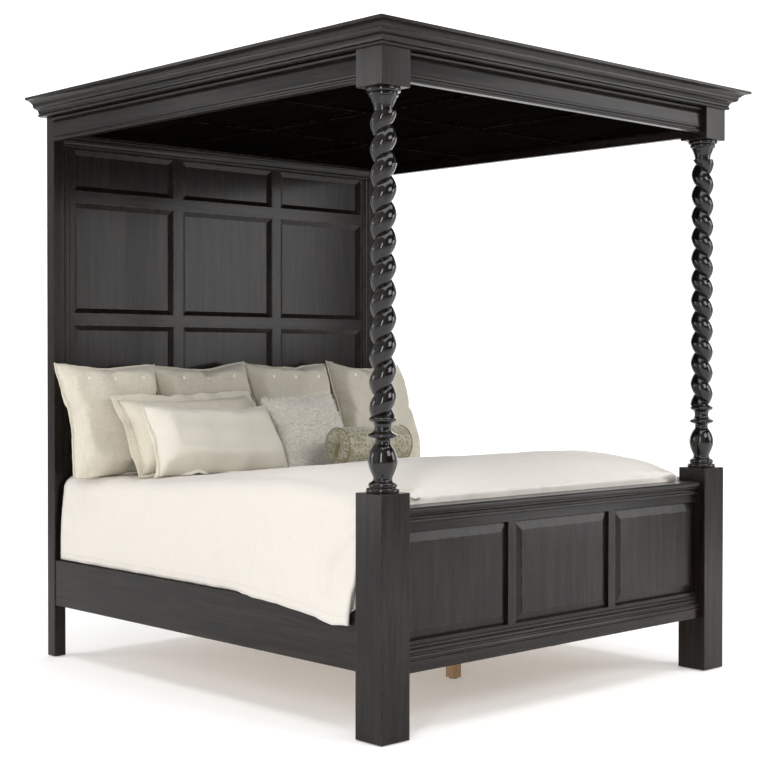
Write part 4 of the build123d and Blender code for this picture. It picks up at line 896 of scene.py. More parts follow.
def stitch_tree():
    """Geometry Nodes: short stitches along a line of points."""
    if "Stitches" in bpy.data.node_groups:
        return bpy.data.node_groups["Stitches"]
    tree, given, out = new_group(
        "Stitches", "GeometryNodeTree",
        [("Geometry", "NodeSocketGeometry", None), ("Spacing", "NodeSocketFloat", 0.008),
         ("Thread", "NodeSocketFloat", 0.0007), ("Finish", "NodeSocketMaterial", None)],
        [("Geometry", "NodeSocketGeometry")])
    line = put(tree, "GeometryNodeMeshToCurve", {"Mesh": given["Geometry"]})
    spots = put(tree, "GeometryNodeCurveToPoints",
                {"Curve": line.outputs[0], "Length": given["Spacing"]}, mode="LENGTH")
    reach = sums(tree, "MULTIPLY", given["Spacing"], 0.62)
    stitch = put(tree, "GeometryNodeMeshCylinder",
                 {"Vertices": 6, "Radius": given["Thread"], "Depth": reach})
    lie = put(tree, "FunctionNodeAlignRotationToVector", {"Vector": spots.outputs["Tangent"]}, axis="Z")
    sewn = put(tree, "GeometryNodeInstanceOnPoints",
               {"Points": spots.outputs["Points"], "Instance": stitch.outputs["Mesh"],
                "Rotation": lie.outputs[0]})
    return end_tree(tree, given, out, sewn.outputs[0])


def tube_tree():
    """Geometry Nodes: a round cord sewn along a closed or open line of points."""
    if "Piping" in bpy.data.node_groups:
        return bpy.data.node_groups["Piping"]
    tree, given, out = new_group(
        "Piping", "GeometryNodeTree",
        [("Geometry", "NodeSocketGeometry", None), ("Radius", "NodeSocketFloat", 0.003),
         ("Finish", "NodeSocketMaterial", None)],
        [("Geometry", "NodeSocketGeometry")])
    line = put(tree, "GeometryNodeMeshToCurve", {"Mesh": given["Geometry"]})
    ring = put(tree, "GeometryNodeCurvePrimitiveCircle", {"Resolution": 8, "Radius": given["Radius"]})
    tube = put(tree, "GeometryNodeCurveToMesh",
               {"Curve": line.outputs[0], "Profile Curve": ring.outputs[0], "Fill Caps": True})
    return end_tree(tree, given, out, tube.outputs[0], smooth=True)


def sew_line(name, line, closed, tree, values, finish):
    """Grows a tree along a line of points and returns the finished piece."""
    mesh = bpy.data.meshes.new(name)
    edges = [(n, n + 1) for n in range(len(line) - 1)] + ([(len(line) - 1, 0)] if closed else [])
    mesh.from_pydata([tuple(p) for p in line], edges, [])
    mesh.materials.append(finish)
    made = bpy.data.objects.new(name, mesh)
    bpy.context.scene.collection.objects.link(made)
    return grow(made, tree, {**values, "Finish": finish})


def add_cloth_map(piece):
    """Cloth coordinates straight from above, for sewn trim too small to need its own."""
    points = points_of(piece)
    layer = piece.data.uv_layers.get("cloth") or piece.data.uv_layers.new(name="cloth")
    corner = np.zeros(len(piece.data.loops), np.int32)
    piece.data.loops.foreach_get("vertex_index", corner)
    layer.data.foreach_set("uv", points[corner][:, :2].astype(np.float32).ravel())


class BED_OT_coverlet(bpy.types.Operator):
    """Drapes the coverlet over the crowned bed, with its corners falling outside the rails"""

    bl_idname = "bed.coverlet"
    bl_label = "Drape the coverlet"

    ROWS, HALF, APRON = 132, 88, 14

    def hem(self, f):
        """Where the side hem hangs at a distance from the foot: out from the middle, and height."""
        out = RAIL_OUT + 0.011 - 0.026 * smoothstep(0.66, 0.90, f)
        tip = np.interp(f, (0.10, 0.145, 0.20, 0.34, 0.55, 0.83), (0.418, 0.402, 0.396, 0.418, 0.436, 0.452))
        return out, tip if f < 0.83 else RAIL_TOP + 0.006

    def execute(self, context):
        colour = tuple(context.scene.bed_linen.cream)
        finish = linen("coverlet_linen", colour, slub=0.35, deep=0.90, crease=1.0, uneven=7.0)
        cap_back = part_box("footboard_cap")[1].y
        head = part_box("coverlet")[1].y
        share = np.linspace(0, 1, self.ROWS) ** 1.12
        grid, cloth, lengths = [], [], []
        for s in share:
            middle_y = cap_back + 0.006 + s * (head - cap_back - 0.006)
            f = max(middle_y - FOOT, 0.142)
            hem_x, hem_z = self.hem(f)
            half, length = half_section(f + FOOT, hem_x, hem_z, self.HALF + 1)
            x = np.concatenate([-half[::-1, 0], half[1:, 0]])
            z = np.concatenate([half[::-1, 1], half[1:, 1]])
            near_post = smoothstep(0.80, 0.885, np.abs(x))
            foot_line = (cap_back + 0.006) * (1 - near_post) + (POST_BACK + 0.005) * near_post
            foot_line += 0.058 * smoothstep(0.86, 0.40, z) * smoothstep(0.93, 0.97, np.abs(x))
            y = foot_line + s * (head - foot_line)
            grid.append(np.stack([x, y, z], 1))
            lengths.append(length)
        across = np.linspace(-1, 1, 2 * self.HALF + 1)
        apron, depth = [], 0.17
        first = grid[0]
        for k in range(self.APRON, 0, -1):
            drop = depth * k / self.APRON
            hang = smoothstep(MATTRESS_HIGH.z - 0.09, MATTRESS_HIGH.z - 0.01, first[:, 2])
            fold = 1 - hang
            row = first.copy()
            row[:, 2] -= drop * hang
            row[:, 1] += fold * 0.0025 * k + hang * 0.004 * math.sin(k / self.APRON * math.pi)
            row[:, 0] -= np.sign(row[:, 0]) * fold * 0.0035 * k
            apron.append(row)
        rows = np.array(apron + grid)
        width = 2 * float(np.mean(lengths))
        along = np.concatenate([[0], np.cumsum(np.linalg.norm(np.diff(rows[:, self.HALF], axis=0), axis=1))])
        cloth = np.stack(np.meshgrid(across * width / 2, along), 2).reshape(-1, 2)

        normal = surface_normals(rows)
        x, y, z = rows[..., 0], rows[..., 1], rows[..., 2]
        f = y - FOOT
        side = smoothstep(0.90, 0.975, np.abs(x))
        on_top = 1 - side
        u, v = np.meshgrid(across * width / 2, along)
        lift = 0.0050 * Ripple(3, 0.62).at(u, v) * on_top
        lift += 0.0026 * Ripple(5, 0.21, 9).at(u, v) * (0.55 + 0.45 * Ripple(6, 0.9).at(u, v))
        lift += 0.0012 * Ripple(8, 0.085, 9).at(u, v)
        # Soft upright folds where the sides hang, stronger towards the foot.
        loose = side * np.interp(f, (0.1, 0.5, 1.1, 2.2), (1.0, 0.75, 0.35, 0.25)) * smoothstep(0.80, 0.62, z)
        sway = v + 0.16 * (np.abs(u) - 1.0) + 0.03 * Ripple(12, 0.4).at(u, v)
        broad = 0.0165 * np.sin(sway * 19 + 1.3 * np.sin(sway * 5.1))
        fine = 0.0065 * np.sin(sway * 43 + 2.0 * u)
        lift += loose * (broad + fine)
        # Pulls that fan out from the corners at the foot.
        corner = np.hypot((np.abs(x) - 0.95) * 1.2 + (0.82 - z) * 0.25, f - 0.13) + 0.02
        sweep = np.arctan2(0.86 - z + 0.35 * (0.97 - np.abs(x)), f - 0.06)
        fan = np.exp(-((corner - 0.18) / 0.22) ** 2) * smoothstep(0.02, 0.12, corner)
        lift += 0.0110 * fan * np.sin(sweep * 11 + 0.8)
        # Small gathers where the cloth is tucked behind the footboard.
        tuck = np.exp(-((f - 0.13) / 0.12) ** 2) * on_top * smoothstep(0.86, 0.76, np.abs(x))
        lift += tuck * (0.0035 * np.sin(x * 34 + 2.0 * np.sin(x * 9)) + 0.0018 * np.sin(x * 71 + 1.0))
        lift = np.where(side > 0.5, np.abs(lift) * 0.8 + lift * 0.2, lift)
        rows = rows + normal * lift[..., None]
        # Cloth at the foot stays behind the posts and the cap.
        limit = np.where(np.abs(rows[..., 0]) > 0.875, POST_BACK + 0.003, cap_back + 0.003)
        rows[..., 1] = np.maximum(rows[..., 1], limit)
        # Cloth that falls past the top of a rail hangs outside it.
        face = RAIL_OUT + 0.007
        past_rail = (rows[..., 2] < RAIL_TOP + 0.004) & (rows[..., 2] > 0.30) & (side > 0.5)
        inside = past_rail & (np.abs(rows[..., 0]) < face)
        rows[..., 0] = np.where(inside, np.sign(rows[..., 0]) * face, rows[..., 0])
        cover = mesh_piece("coverlet_draped", rows.reshape(-1, 3), grid_faces(*rows.shape[:2]), finish, cloth)
        thick = cover.modifiers.new("thickness", "SOLIDIFY")
        thick.thickness, thick.offset = 0.0035, -1.0
        settle(cover, "linen_cream", "coverlet")

        # Hem stitching a little above each side hem.
        thread = moulded_plastic("cream_thread", (0.72, 0.69, 0.61), 900.0)
        for name, column in (("left", 2), ("right", rows.shape[1] - 3)):
            line = (rows + surface_normals(rows) * 0.0004)[self.APRON + 1:, column]
            stitches = sew_line(f"hem_stitches_{name}", line, False, stitch_tree(),
                                {"Spacing": 0.009, "Thread": 0.0008}, thread)
            settle(stitches, "linen_cream")
        return {"FINISHED"}


class BED_OT_mattress_set(bpy.types.Operator):
    """Makes the mattress, the box spring and the comforter under the coverlet"""

    bl_idname = "bed.mattress_set"
    bl_label = "Make the mattress set"

    CHANNEL = 0.30      # spacing of the comforter's stitched channels

    def block(self, name, node, roll, quilt, finish):
        """A sewn block with rounded corners, rolled edges and quilting on its top."""
        low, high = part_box(node)
        half = (high - low) / 2
        middle = (high + low) / 2
        rows, sides = [], 120
        bands = [(0.0, -1.0), (0.5, -1.0), (0.85, -1.0)]
        bands += [(1.0, -1 + (1 - math.cos(a)) * roll / half.z) for a in np.linspace(0, math.pi / 2, 5)]
        bands += [(1.0, k) for k in np.linspace(-0.6, 0.6, 5)]
        bands += [(1.0, 1 - (1 - math.cos(a)) * roll / half.z) for a in np.linspace(math.pi / 2, 0, 5)]
        bands += [(k, 1.0) for k in (0.97, 0.92, 0.86, 0.8, 0.72, 0.64, 0.56, 0.48, 0.4, 0.3, 0.2, 0.1)]
        for inset, level in bands:
            above = max(0.0, abs(level) * half.z - half.z + roll) / roll
            edge = roll * (1 - math.sqrt(max(0.0, 1 - above ** 2)))
            for s in range(sides):
                turn = 2 * math.pi * s / sides
                c, d = math.cos(turn), math.sin(turn)
                power = 2 / 14
                x = math.copysign(abs(c) ** power, c) * (half.x - edge) * max(inset, 1e-3)
                y = math.copysign(abs(d) ** power, d) * (half.y - edge) * max(inset, 1e-3)
                z = level * half.z
                if quilt and level == 1.0:
                    z += 0.004 * (abs(math.sin(x * 16) * math.sin(y * 16)) - 1)
                rows.append((middle.x + x, middle.y + y, middle.z + z))
        faces = grid_faces(len(bands), sides, True)
        faces.append(tuple(range(sides))[::-1])
        faces.append(tuple(range((len(bands) - 1) * sides, len(bands) * sides)))
        points = np.array(rows)
        cloth = np.stack([points[:, 0] + points[:, 2], points[:, 1] + points[:, 2]], 1)
        made = mesh_piece(name, points, faces, finish, cloth)
        outward(made)
        settle(made, "ticking", node)
        cords = []
        for n, level in enumerate((3, len(bands) - 13)):
            ring = points[level * sides:(level + 1) * sides]
            cord = sew_line(f"{name}_piping_{n + 1}", ring, True, tube_tree(), {"Radius": 0.004}, finish)
            add_cloth_map(cord)
            settle(cord, "ticking")
            cords.append(cord)

    def execute(self, context):
        ticking = linen("ticking", (0.70, 0.68, 0.62), slub=0.3, deep=0.85)
        self.block("mattress_quilted", "mattress", 0.055, True, ticking)
        self.block("box_spring_covered", "box_spring", 0.010, False, ticking)
        low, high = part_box("comforter")
        across, along = np.linspace(low.x + 0.004, high.x - 0.004, 64), np.linspace(low.y + 0.01, high.y, 84)
        x, y = np.meshgrid(across, along)
        filled = [np.abs(np.sin(place * math.pi / self.CHANNEL)) ** 0.5 for place in (x, y)]
        channel = 0.010 * (1 - filled[0] * filled[1])
        edge = np.minimum(np.minimum(x - x.min(), x.max() - x), np.minimum(y - y.min(), y.max() - y))
        z = np.maximum(cover_top(x, y) - 0.010 - channel, MATTRESS_HIGH.z + 0.004)
        z = MATTRESS_HIGH.z + 0.003 + (z - MATTRESS_HIGH.z - 0.003) * smoothstep(-0.004, 0.035, edge)
        top = np.stack([x, y, z], 2).reshape(-1, 3)
        under = np.stack([x, y, np.full_like(x, MATTRESS_HIGH.z + 0.0015)], 2).reshape(-1, 3)
        rows, columns, count = len(along), len(across), top.shape[0]
        faces = grid_faces(rows, columns)
        faces += [tuple(i + count for i in f[::-1]) for f in grid_faces(rows, columns)]
        rim = rim_of(columns, rows)
        faces += [(a, a + count, b + count, b) for a, b in zip(rim, rim[1:] + rim[:1])]
        points = np.concatenate([top, under])
        cream = linen("comforter_cloth", tuple(context.scene.bed_linen.cream), slub=0.2, deep=0.92)
        made = mesh_piece("comforter_filled", points, faces, cream, points[:, :2])
        outward(made)
        settle(made, "linen_cream", "comforter")
        return {"FINISHED"}


# ------------------------------------------------------------------ pillows
def inflate(piece, pressure, reach):
    """Blows the sewn blank up as cloth with no gravity, and caps how far any point moves."""
    start = points_of(piece)
    cloth = piece.modifiers.new("inflate", "CLOTH")
    kept = cloth.settings
    kept.quality, kept.mass, kept.air_damping = 6, 0.25, 2.0
    kept.tension_stiffness, kept.compression_stiffness = 14.0, 14.0
    kept.shear_stiffness, kept.bending_stiffness = 6.0, 0.35
    kept.use_pressure, kept.uniform_pressure_force = True, pressure
    kept.effector_weights.gravity = 0.0
    cloth.point_cache.frame_start, cloth.point_cache.frame_end = 1, 20
    for number in range(1, 21):
        bpy.context.scene.frame_set(number)
    seen = piece.evaluated_get(bpy.context.evaluated_depsgraph_get())
    blown = np.zeros(len(seen.data.vertices) * 3, np.float32)
    seen.data.vertices.foreach_get("co", blown)
    blown = blown.reshape(-1, 3).astype(float)
    piece.modifiers.clear()
    bpy.context.scene.frame_set(1)
    step = blown - start
    size = np.linalg.norm(step, axis=1, keepdims=True)
    move_points(piece, start + step * np.minimum(1, reach / np.maximum(size, 1e-9)))


def stuffed(name, width, height, thickness, finish, seed, pressure=4.5, flange=0.0, wave=0.004, cuts=34):
    """A sewn and stuffed pillow standing at the origin: width along X, height up, thickness along Y."""
    columns, rows = cuts, max(12, round(cuts * height / width))
    across, up = np.linspace(-1, 1, columns), np.linspace(-1, 1, rows)
    u, v = np.meshgrid(across, up)
    loose = Ripple(seed, 0.9)
    full = (1 - u ** 4) * (1 - v ** 4)
    thin = thickness * 0.20 * full * (1 + 0.35 * loose.at(u, v))
    x, z = u * width / 2, v * height / 2
    front = np.stack([x, -thin, z], 2).reshape(-1, 3)
    rim = rim_of(columns, rows)
    index = {place: place for place in rim}
    points, number = list(front), len(front)
    for place in range(len(front)):
        if place not in index:
            index[place] = number
            points.append((front[place][0], -front[place][1], front[place][2]))
            number += 1
    faces = grid_faces(rows, columns)
    faces += [tuple(index[i] for i in f[::-1]) for f in grid_faces(rows, columns)]
    points = flat = np.array(points)
    cloth = np.stack([points[:, 0] + 0.37 * seed, points[:, 2]], 1)
    made = mesh_piece(name, points, faces, finish, cloth)
    outward(made)
    inflate(made, pressure, thickness * 0.55)
    points = points_of(made)
    size = points.max(0) - points.min(0)
    points -= (points.max(0) + points.min(0)) / 2
    points *= np.array([width, thickness, height]) / size
    # The seams keep nearly straight between the corners.
    points[:, [0, 2]] = points[:, [0, 2]] * 0.5 + flat[:, [0, 2]] * 0.5
    # Gathers along the seam, and soft lumps in the filling.
    to_side, to_end = width / 2 - np.abs(points[:, 0]), height / 2 - np.abs(points[:, 2])
    edge = np.minimum(to_side, to_end)
    way = np.sign(points[:, 1])
    run = np.where(to_side < to_end, points[:, 2], points[:, 0])
    gather = np.exp(-((edge - 0.02) / 0.028) ** 2) * np.sin(run * 95 + 2.2 * np.sin(run * 23 + seed))
    lump = Ripple(seed + 40, 0.19, 9).at(points[:, 0], points[:, 2] + 0.3 * way)
    inside = smoothstep(0.0, 0.05, edge)
    points[:, 1] += way * (0.0022 * gather + 0.0045 * lump * inside)
    move_points(made, points)
    if flange:
        line = points[rim]
        count, wander = len(line), Ripple(seed + 9, 0.12)
        seam = line[:, [0, 2]]
        away = seam / np.array([width / 2, height / 2])
        away = np.sign(away) * np.abs(away) ** 6
        away /= np.maximum(np.linalg.norm(away, axis=1, keepdims=True), 1e-6)
        turn = np.arange(count)
        ruffle = wave * (wander.at(seam[:, 0], seam[:, 1]) * 1.6 + 0.5 * np.sin(turn * 0.9))
        inner = np.stack([seam[:, 0] - away[:, 0] * 0.004, line[:, 1], seam[:, 1] - away[:, 1] * 0.004], 1)
        outer = np.stack([seam[:, 0] + away[:, 0] * flange, line[:, 1] + ruffle,
                          seam[:, 1] + away[:, 1] * flange], 1)
        middle = (inner + outer) / 2 + np.stack([0 * ruffle, ruffle * 0.3, 0 * ruffle], 1)
        shift = np.array([0, 0.0013, 0])
        loops = [inner - shift, middle - shift, outer - shift, outer + shift, middle + shift, inner + shift]
        ring = np.concatenate(loops)
        band = []
        for k in range(len(loops)):
            n = (k + 1) % len(loops)
            for i in range(count):
                j = (i + 1) % count
                band.append((k * count + i, k * count + j, n * count + j, n * count + i))
        edge_piece = mesh_piece(f"{name}_flange_work", ring, band, finish, ring[:, [0, 2]])
        outward(edge_piece)
        work = bmesh.new()
        work.from_mesh(made.data)
        work.from_mesh(edge_piece.data)
        work.to_mesh(made.data)
        work.free()
        bpy.data.objects.remove(edge_piece)
        made.data.polygons.foreach_set("use_smooth", [True] * len(made.data.polygons))
    return made


def stand(piece, height, across, from_foot, rise, lean, roll=0.0, turn=0.0, fuller=0.14, flop=0.0):
    """Fattens the lower half, then leans the pillow back and stands it on the bed."""
    points = points_of(piece)
    share = points[:, 2] / height + 0.5
    points[:, 1] *= 1 + fuller * (0.5 - share)
    points[:, 0] *= 1 + 0.03 * (0.5 - share)
    points[:, 1] += flop * smoothstep(0.55, 1.05, share)
    points[:, 2] += height / 2
    floor = cover_top(0.0, FOOT + 2.2)
    place = Matrix.Translation((across, FOOT + from_foot, float(floor) + rise))
    place = place @ Matrix.Rotation(math.radians(turn), 4, "Z") @ Matrix.Rotation(math.radians(-lean), 4, "X")
    place = place @ Matrix.Rotation(math.radians(roll), 4, "Y")
    turned = np.array(place)
    move_points(piece, points @ turned[:3, :3].T + turned[:3, 3])
    return place


PRESS_REACH = 0.16      # how far into the next pillow a point may start and still be pushed out
LYING_GAP = 0.006       # room for the coverlet's thickness and creases under what lies on it


def surface_of(piece):
    """The piece's faces, ready to be searched for the nearest point or a hit."""
    faces = [tuple(f.vertices) for f in piece.data.polygons]
    return BVHTree.FromPolygons([tuple(p) for p in points_of(piece)], faces)


def press(piece, other, gap=0.002):
    """Pushes the piece's points out of another piece, as one pillow dents against the next."""
    tree = surface_of(other)
    points = points_of(piece)
    push = np.zeros_like(points)
    for n, point in enumerate(points):
        near, normal = tree.find_nearest(Vector(point), PRESS_REACH)[:2]
        if near is not None and (Vector(point) - near).dot(normal) < gap:
            push[n] = near + normal * gap - Vector(point)
    # The dent is spread over the neighbouring cloth, so that it stays soft.
    pairs = np.zeros(len(piece.data.edges) * 2, np.int32)
    piece.data.edges.foreach_get("vertices", pairs)
    first, second = pairs.reshape(-1, 2).T
    count = np.bincount(pairs, minlength=len(points))[:, None] + 1.0
    for _ in range(5):
        spread = push.copy()
        np.add.at(spread, first, push[second])
        np.add.at(spread, second, push[first])
        push = spread / count
    move_points(piece, points + push)


def rest(piece, back=None):
    """Flattens the piece where it lies on the coverlet or leans on the headboard."""
    points = points_of(piece)
    floor = cover_top(points[:, 0], points[:, 1]) + LYING_GAP
    above = points[:, 2] - floor
    above -= 0.024 * np.exp(-(np.maximum(above, 0) / 0.034) ** 2)
    points[:, 2] = floor + np.maximum(above, -0.04 * above)
    if back is not None:
        points[:, 1] = np.minimum(points[:, 1], back)
    move_points(piece, points)


def soften(piece):
    """Rounds the cloth with one level of subdivision."""
    rounder = piece.modifiers.new("soften", "SUBSURF")
    rounder.levels = rounder.render_levels = 1


def finish_pillow(piece, slot, node):
    soften(piece)
    settle(piece, slot, node)


class BED_OT_square_shams(bpy.types.Operator):
    """Stuffs four square shams, leans them on the headboard and sews three buttons on each"""

    bl_idname = "bed.square_shams"
    bl_label = "Stuff the square shams"

    # Place across the bed, roll, turn and seed of each sham, then the size, lean and place they share.
    PLACES = ((-0.780, 0.0, 1.0, 3), (-0.245, -1.5, -2.0, 11), (0.290, 1.0, 1.5, 19), (0.825, 2.5, 4.0, 27))
    WIDE, TALL, DEEP, LEAN, FROM_FOOT = 0.560, 0.556, 0.165, 20.0, 1.968

    def execute(self, context):
        base = tuple(context.scene.bed_linen.beige)
        back = HEADBOARD_FACE - 0.004
        spots, facing = [], []
        before = None
        for number, (across, roll, turn, seed) in enumerate(self.PLACES, start=1):
            # Painted light: each sham's copy of the linen is lighter or darker, brightest at the left, where
            # the key light stands.
            painted_light = (1.12, 1.0, 0.97, 0.90)[number - 1]
            finish = linen(f"sham_linen_{number}", tuple(min(c * painted_light, 1) for c in base), slub=0.9, deep=0.70,
                           crease=1.2, uneven=9.0)
            sham = stuffed(f"square_sham_{number}", self.WIDE, self.TALL, self.DEEP, finish, seed, 5.0,
                           flange=0.007, wave=0.001)
            place = stand(sham, self.TALL, across, self.FROM_FOOT, -0.006, self.LEAN, roll, turn)
            if before is not None:
                press(sham, before)
            rest(sham, back)
            before = sham
            # Buttons pull the cloth in along a lapped opening near the top.
            points = points_of(sham)
            tree = surface_of(sham)
            look = place.to_3x3() @ Vector((0, 1, 0))
            for step in (-0.148, 0.0, 0.148):
                start = place @ Vector((step, -0.4, self.TALL - 0.098))
                hit, normal = tree.ray_cast(start, look)[:2]
                if hit is None:
                    raise RuntimeError(f"a button of square sham {number} found no cloth under it")
                away = np.linalg.norm(points - np.array(hit), axis=1)
                points -= np.outer(np.exp(-(away / 0.030) ** 2) * 0.0085, np.array(normal))
                spots.append(hit - normal * 0.0062)
                facing.append(normal)
            inverse = np.array(place.inverted())
            local = points @ inverse[:3, :3].T + inverse[:3, 3]
            lap = smoothstep(-0.004, 0.004, local[:, 2] - (self.TALL - 0.122)) * (local[:, 1] < 0)
            points += np.outer(lap * 0.0022, np.array(place.to_3x3() @ Vector((0, -1, 0))))
            move_points(sham, points)
            finish_pillow(sham, "linen_beige", f"euro_sham_{number}")
        self.sew_buttons(spots, facing)
        return {"FINISHED"}

    def sew_buttons(self, spots, facing):
        """Puts a domed button at each spot, turned to face out of the cloth."""
        finish = moulded_plastic("button_cream", (0.93, 0.90, 0.82), 400.0)
        tree, given, out = new_group(
            "Sewn buttons", "GeometryNodeTree",
            [("Geometry", "NodeSocketGeometry", None), ("Radius", "NodeSocketFloat", 0.009),
             ("Dome", "NodeSocketFloat", 0.45), ("Finish", "NodeSocketMaterial", None)],
            [("Geometry", "NodeSocketGeometry")])
        ball = put(tree, "GeometryNodeMeshUVSphere", {"Segments": 20, "Rings": 10, "Radius": given["Radius"]})
        domed = put(tree, "ShaderNodeCombineXYZ", {0: 1.0, 1: 1.0, 2: given["Dome"]})
        flat = put(tree, "GeometryNodeTransform",
                   {"Geometry": ball.outputs["Mesh"], "Scale": domed.outputs[0]})
        way = put(tree, "GeometryNodeInputNamedAttribute", {"Name": "facing"}, data_type="FLOAT_VECTOR")
        lie = put(tree, "FunctionNodeAlignRotationToVector", {"Vector": way.outputs[0]}, axis="Z")
        sewn = put(tree, "GeometryNodeInstanceOnPoints",
                   {"Points": given["Geometry"], "Instance": flat.outputs[0], "Rotation": lie.outputs[0]})
        end_tree(tree, given, out, sewn.outputs[0], smooth=True)
        made = mesh_piece("sham_buttons_sewn", spots, [], finish)
        way = made.data.attributes.new("facing", "FLOAT_VECTOR", "POINT")
        way.data.foreach_set("vector", np.array(facing, np.float32).ravel())
        grow(made, tree, {"Radius": 0.0095, "Dome": 0.42, "Finish": finish})
        settle(made, "button", "sham_buttons")


class BED_OT_long_sham(bpy.types.Operator):
    """Stuffs the long flanged sham and leans it on the square ones"""

    bl_idname = "bed.long_sham"
    bl_label = "Stuff the long sham"

    WIDE, TALL, DEEP = 0.770, 0.385, 0.150

    def execute(self, context):
        base = tuple(context.scene.bed_linen.beige)
        finish = linen("long_sham_linen", tuple(c * 1.12 for c in base), slub=0.8, deep=0.76, crease=1.4,
                       uneven=8.0)
        sham = stuffed("long_sham_flanged", self.WIDE, self.TALL, self.DEEP, finish, 51, 4.5, flange=0.040,
                       wave=0.009)
        stand(sham, self.TALL, -0.470, 1.748, 0.036, 31.0, -1.0, 0.0, flop=0.020)
        for number in (1, 2, 3):
            press(sham, bpy.data.objects[f"square_sham_{number}"])
        rest(sham)
        finish_pillow(sham, "linen_beige", "long_sham")
        return {"FINISHED"}


class BED_OT_lumbar(bpy.types.Operator):
    """Stuffs the plump lumbar pillow in front of the long sham"""

    bl_idname = "bed.lumbar"
    bl_label = "Stuff the lumbar pillow"

    WIDE, TALL, DEEP = 0.720, 0.350, 0.195

    def execute(self, context):
        finish = linen("lumbar_sateen", tuple(context.scene.bed_linen.ivory), slub=0.25, thread=0.0011,
                       sheen=0.4, deep=0.88, crease=0.8, uneven=7.0)
        pillow = stuffed("lumbar_pillow_plump", self.WIDE, self.TALL, self.DEEP, finish, 73, 6.5,
                         flange=0.009, wave=0.003)
        stand(pillow, self.TALL, -0.512, 1.578, 0.024, 31.0, 1.5, 0.0, fuller=0.05)
        press(pillow, bpy.data.objects["long_sham_flanged"])
        rest(pillow)
        finish_pillow(pillow, "linen_ivory", "lumbar_pillow")
        return {"FINISHED"}


class BED_OT_fur_pillow(bpy.types.Operator):
    """Stuffs the furry pillow and grows its curly pile"""

    bl_idname = "bed.fur_pillow"
    bl_label = "Make the fur pillow"

    WIDE, TALL, DEEP = 0.450, 0.390, 0.140

    def pile_tree(self):
        """Geometry Nodes: short tufts spread over the cloth at seeded places, lying every way."""
        tree, given, out = new_group(
            "Curly pile", "GeometryNodeTree",
            [("Geometry", "NodeSocketGeometry", None), ("Density", "NodeSocketFloat", 20000.0),
             ("Length", "NodeSocketFloat", 0.016), ("Width", "NodeSocketFloat", 0.0016),
             ("Seed", "NodeSocketInt", 7), ("Finish", "NodeSocketMaterial", None)],
            [("Geometry", "NodeSocketGeometry")])
        spots = put(tree, "GeometryNodeDistributePointsOnFaces",
                    {"Mesh": given["Geometry"], "Density": given["Density"], "Seed": given["Seed"]})
        tuft = put(tree, "GeometryNodeMeshCone",
                   {"Vertices": 4, "Side Segments": 2, "Radius Top": 0.0003, "Radius Bottom": given["Width"],
                    "Depth": given["Length"]})
        lean = put(tree, "FunctionNodeRandomValue",
                   {0: (-1.0, -1.0, -1.0), 1: (1.0, 1.0, 1.0), "Seed": given["Seed"]},
                   data_type="FLOAT_VECTOR")
        astray = put(tree, "ShaderNodeVectorMath", {0: lean.outputs[0], "Scale": 0.85}, operation="SCALE")
        way = put(tree, "ShaderNodeVectorMath", {0: spots.outputs["Normal"], 1: astray.outputs[0]},
                  operation="ADD")
        lie = put(tree, "FunctionNodeAlignRotationToVector", {"Vector": way.outputs[0]}, axis="Z")
        size = put(tree, "FunctionNodeRandomValue", {2: 0.6, 3: 1.15, "Seed": 3}, data_type="FLOAT")
        grown = put(tree, "GeometryNodeInstanceOnPoints",
                    {"Points": spots.outputs["Points"], "Instance": tuft.outputs["Mesh"],
                     "Rotation": lie.outputs[0], "Scale": size.outputs[1]})
        both = put(tree, "GeometryNodeJoinGeometry")
        tree.links.new(grown.outputs[0], both.inputs[0])
        tree.links.new(given["Geometry"], both.inputs[0])
        return end_tree(tree, given, out, both.outputs[0])

    def execute(self, context):
        finish = pile_cloth("curly_pile", tuple(context.scene.bed_linen.fur))
        pillow = stuffed("fur_pillow_piled", self.WIDE, self.TALL, self.DEEP, finish, 88, 5.5, cuts=30)
        stand(pillow, self.TALL, 0.088, 1.612, 0.022, 29.0, -2.0, 0.0)
        for name in ("square_sham_2", "square_sham_3", "long_sham_flanged", "lumbar_pillow_plump"):
            press(pillow, bpy.data.objects[name], 0.006)
        rest(pillow)
        soften(pillow)
        bake(pillow)
        grow(pillow, self.pile_tree(), {"Density": 26000.0, "Length": 0.017, "Width": 0.0019, "Seed": 7,
                                        "Finish": finish})
        settle(pillow, "fur", "fur_pillow")
        return {"FINISHED"}


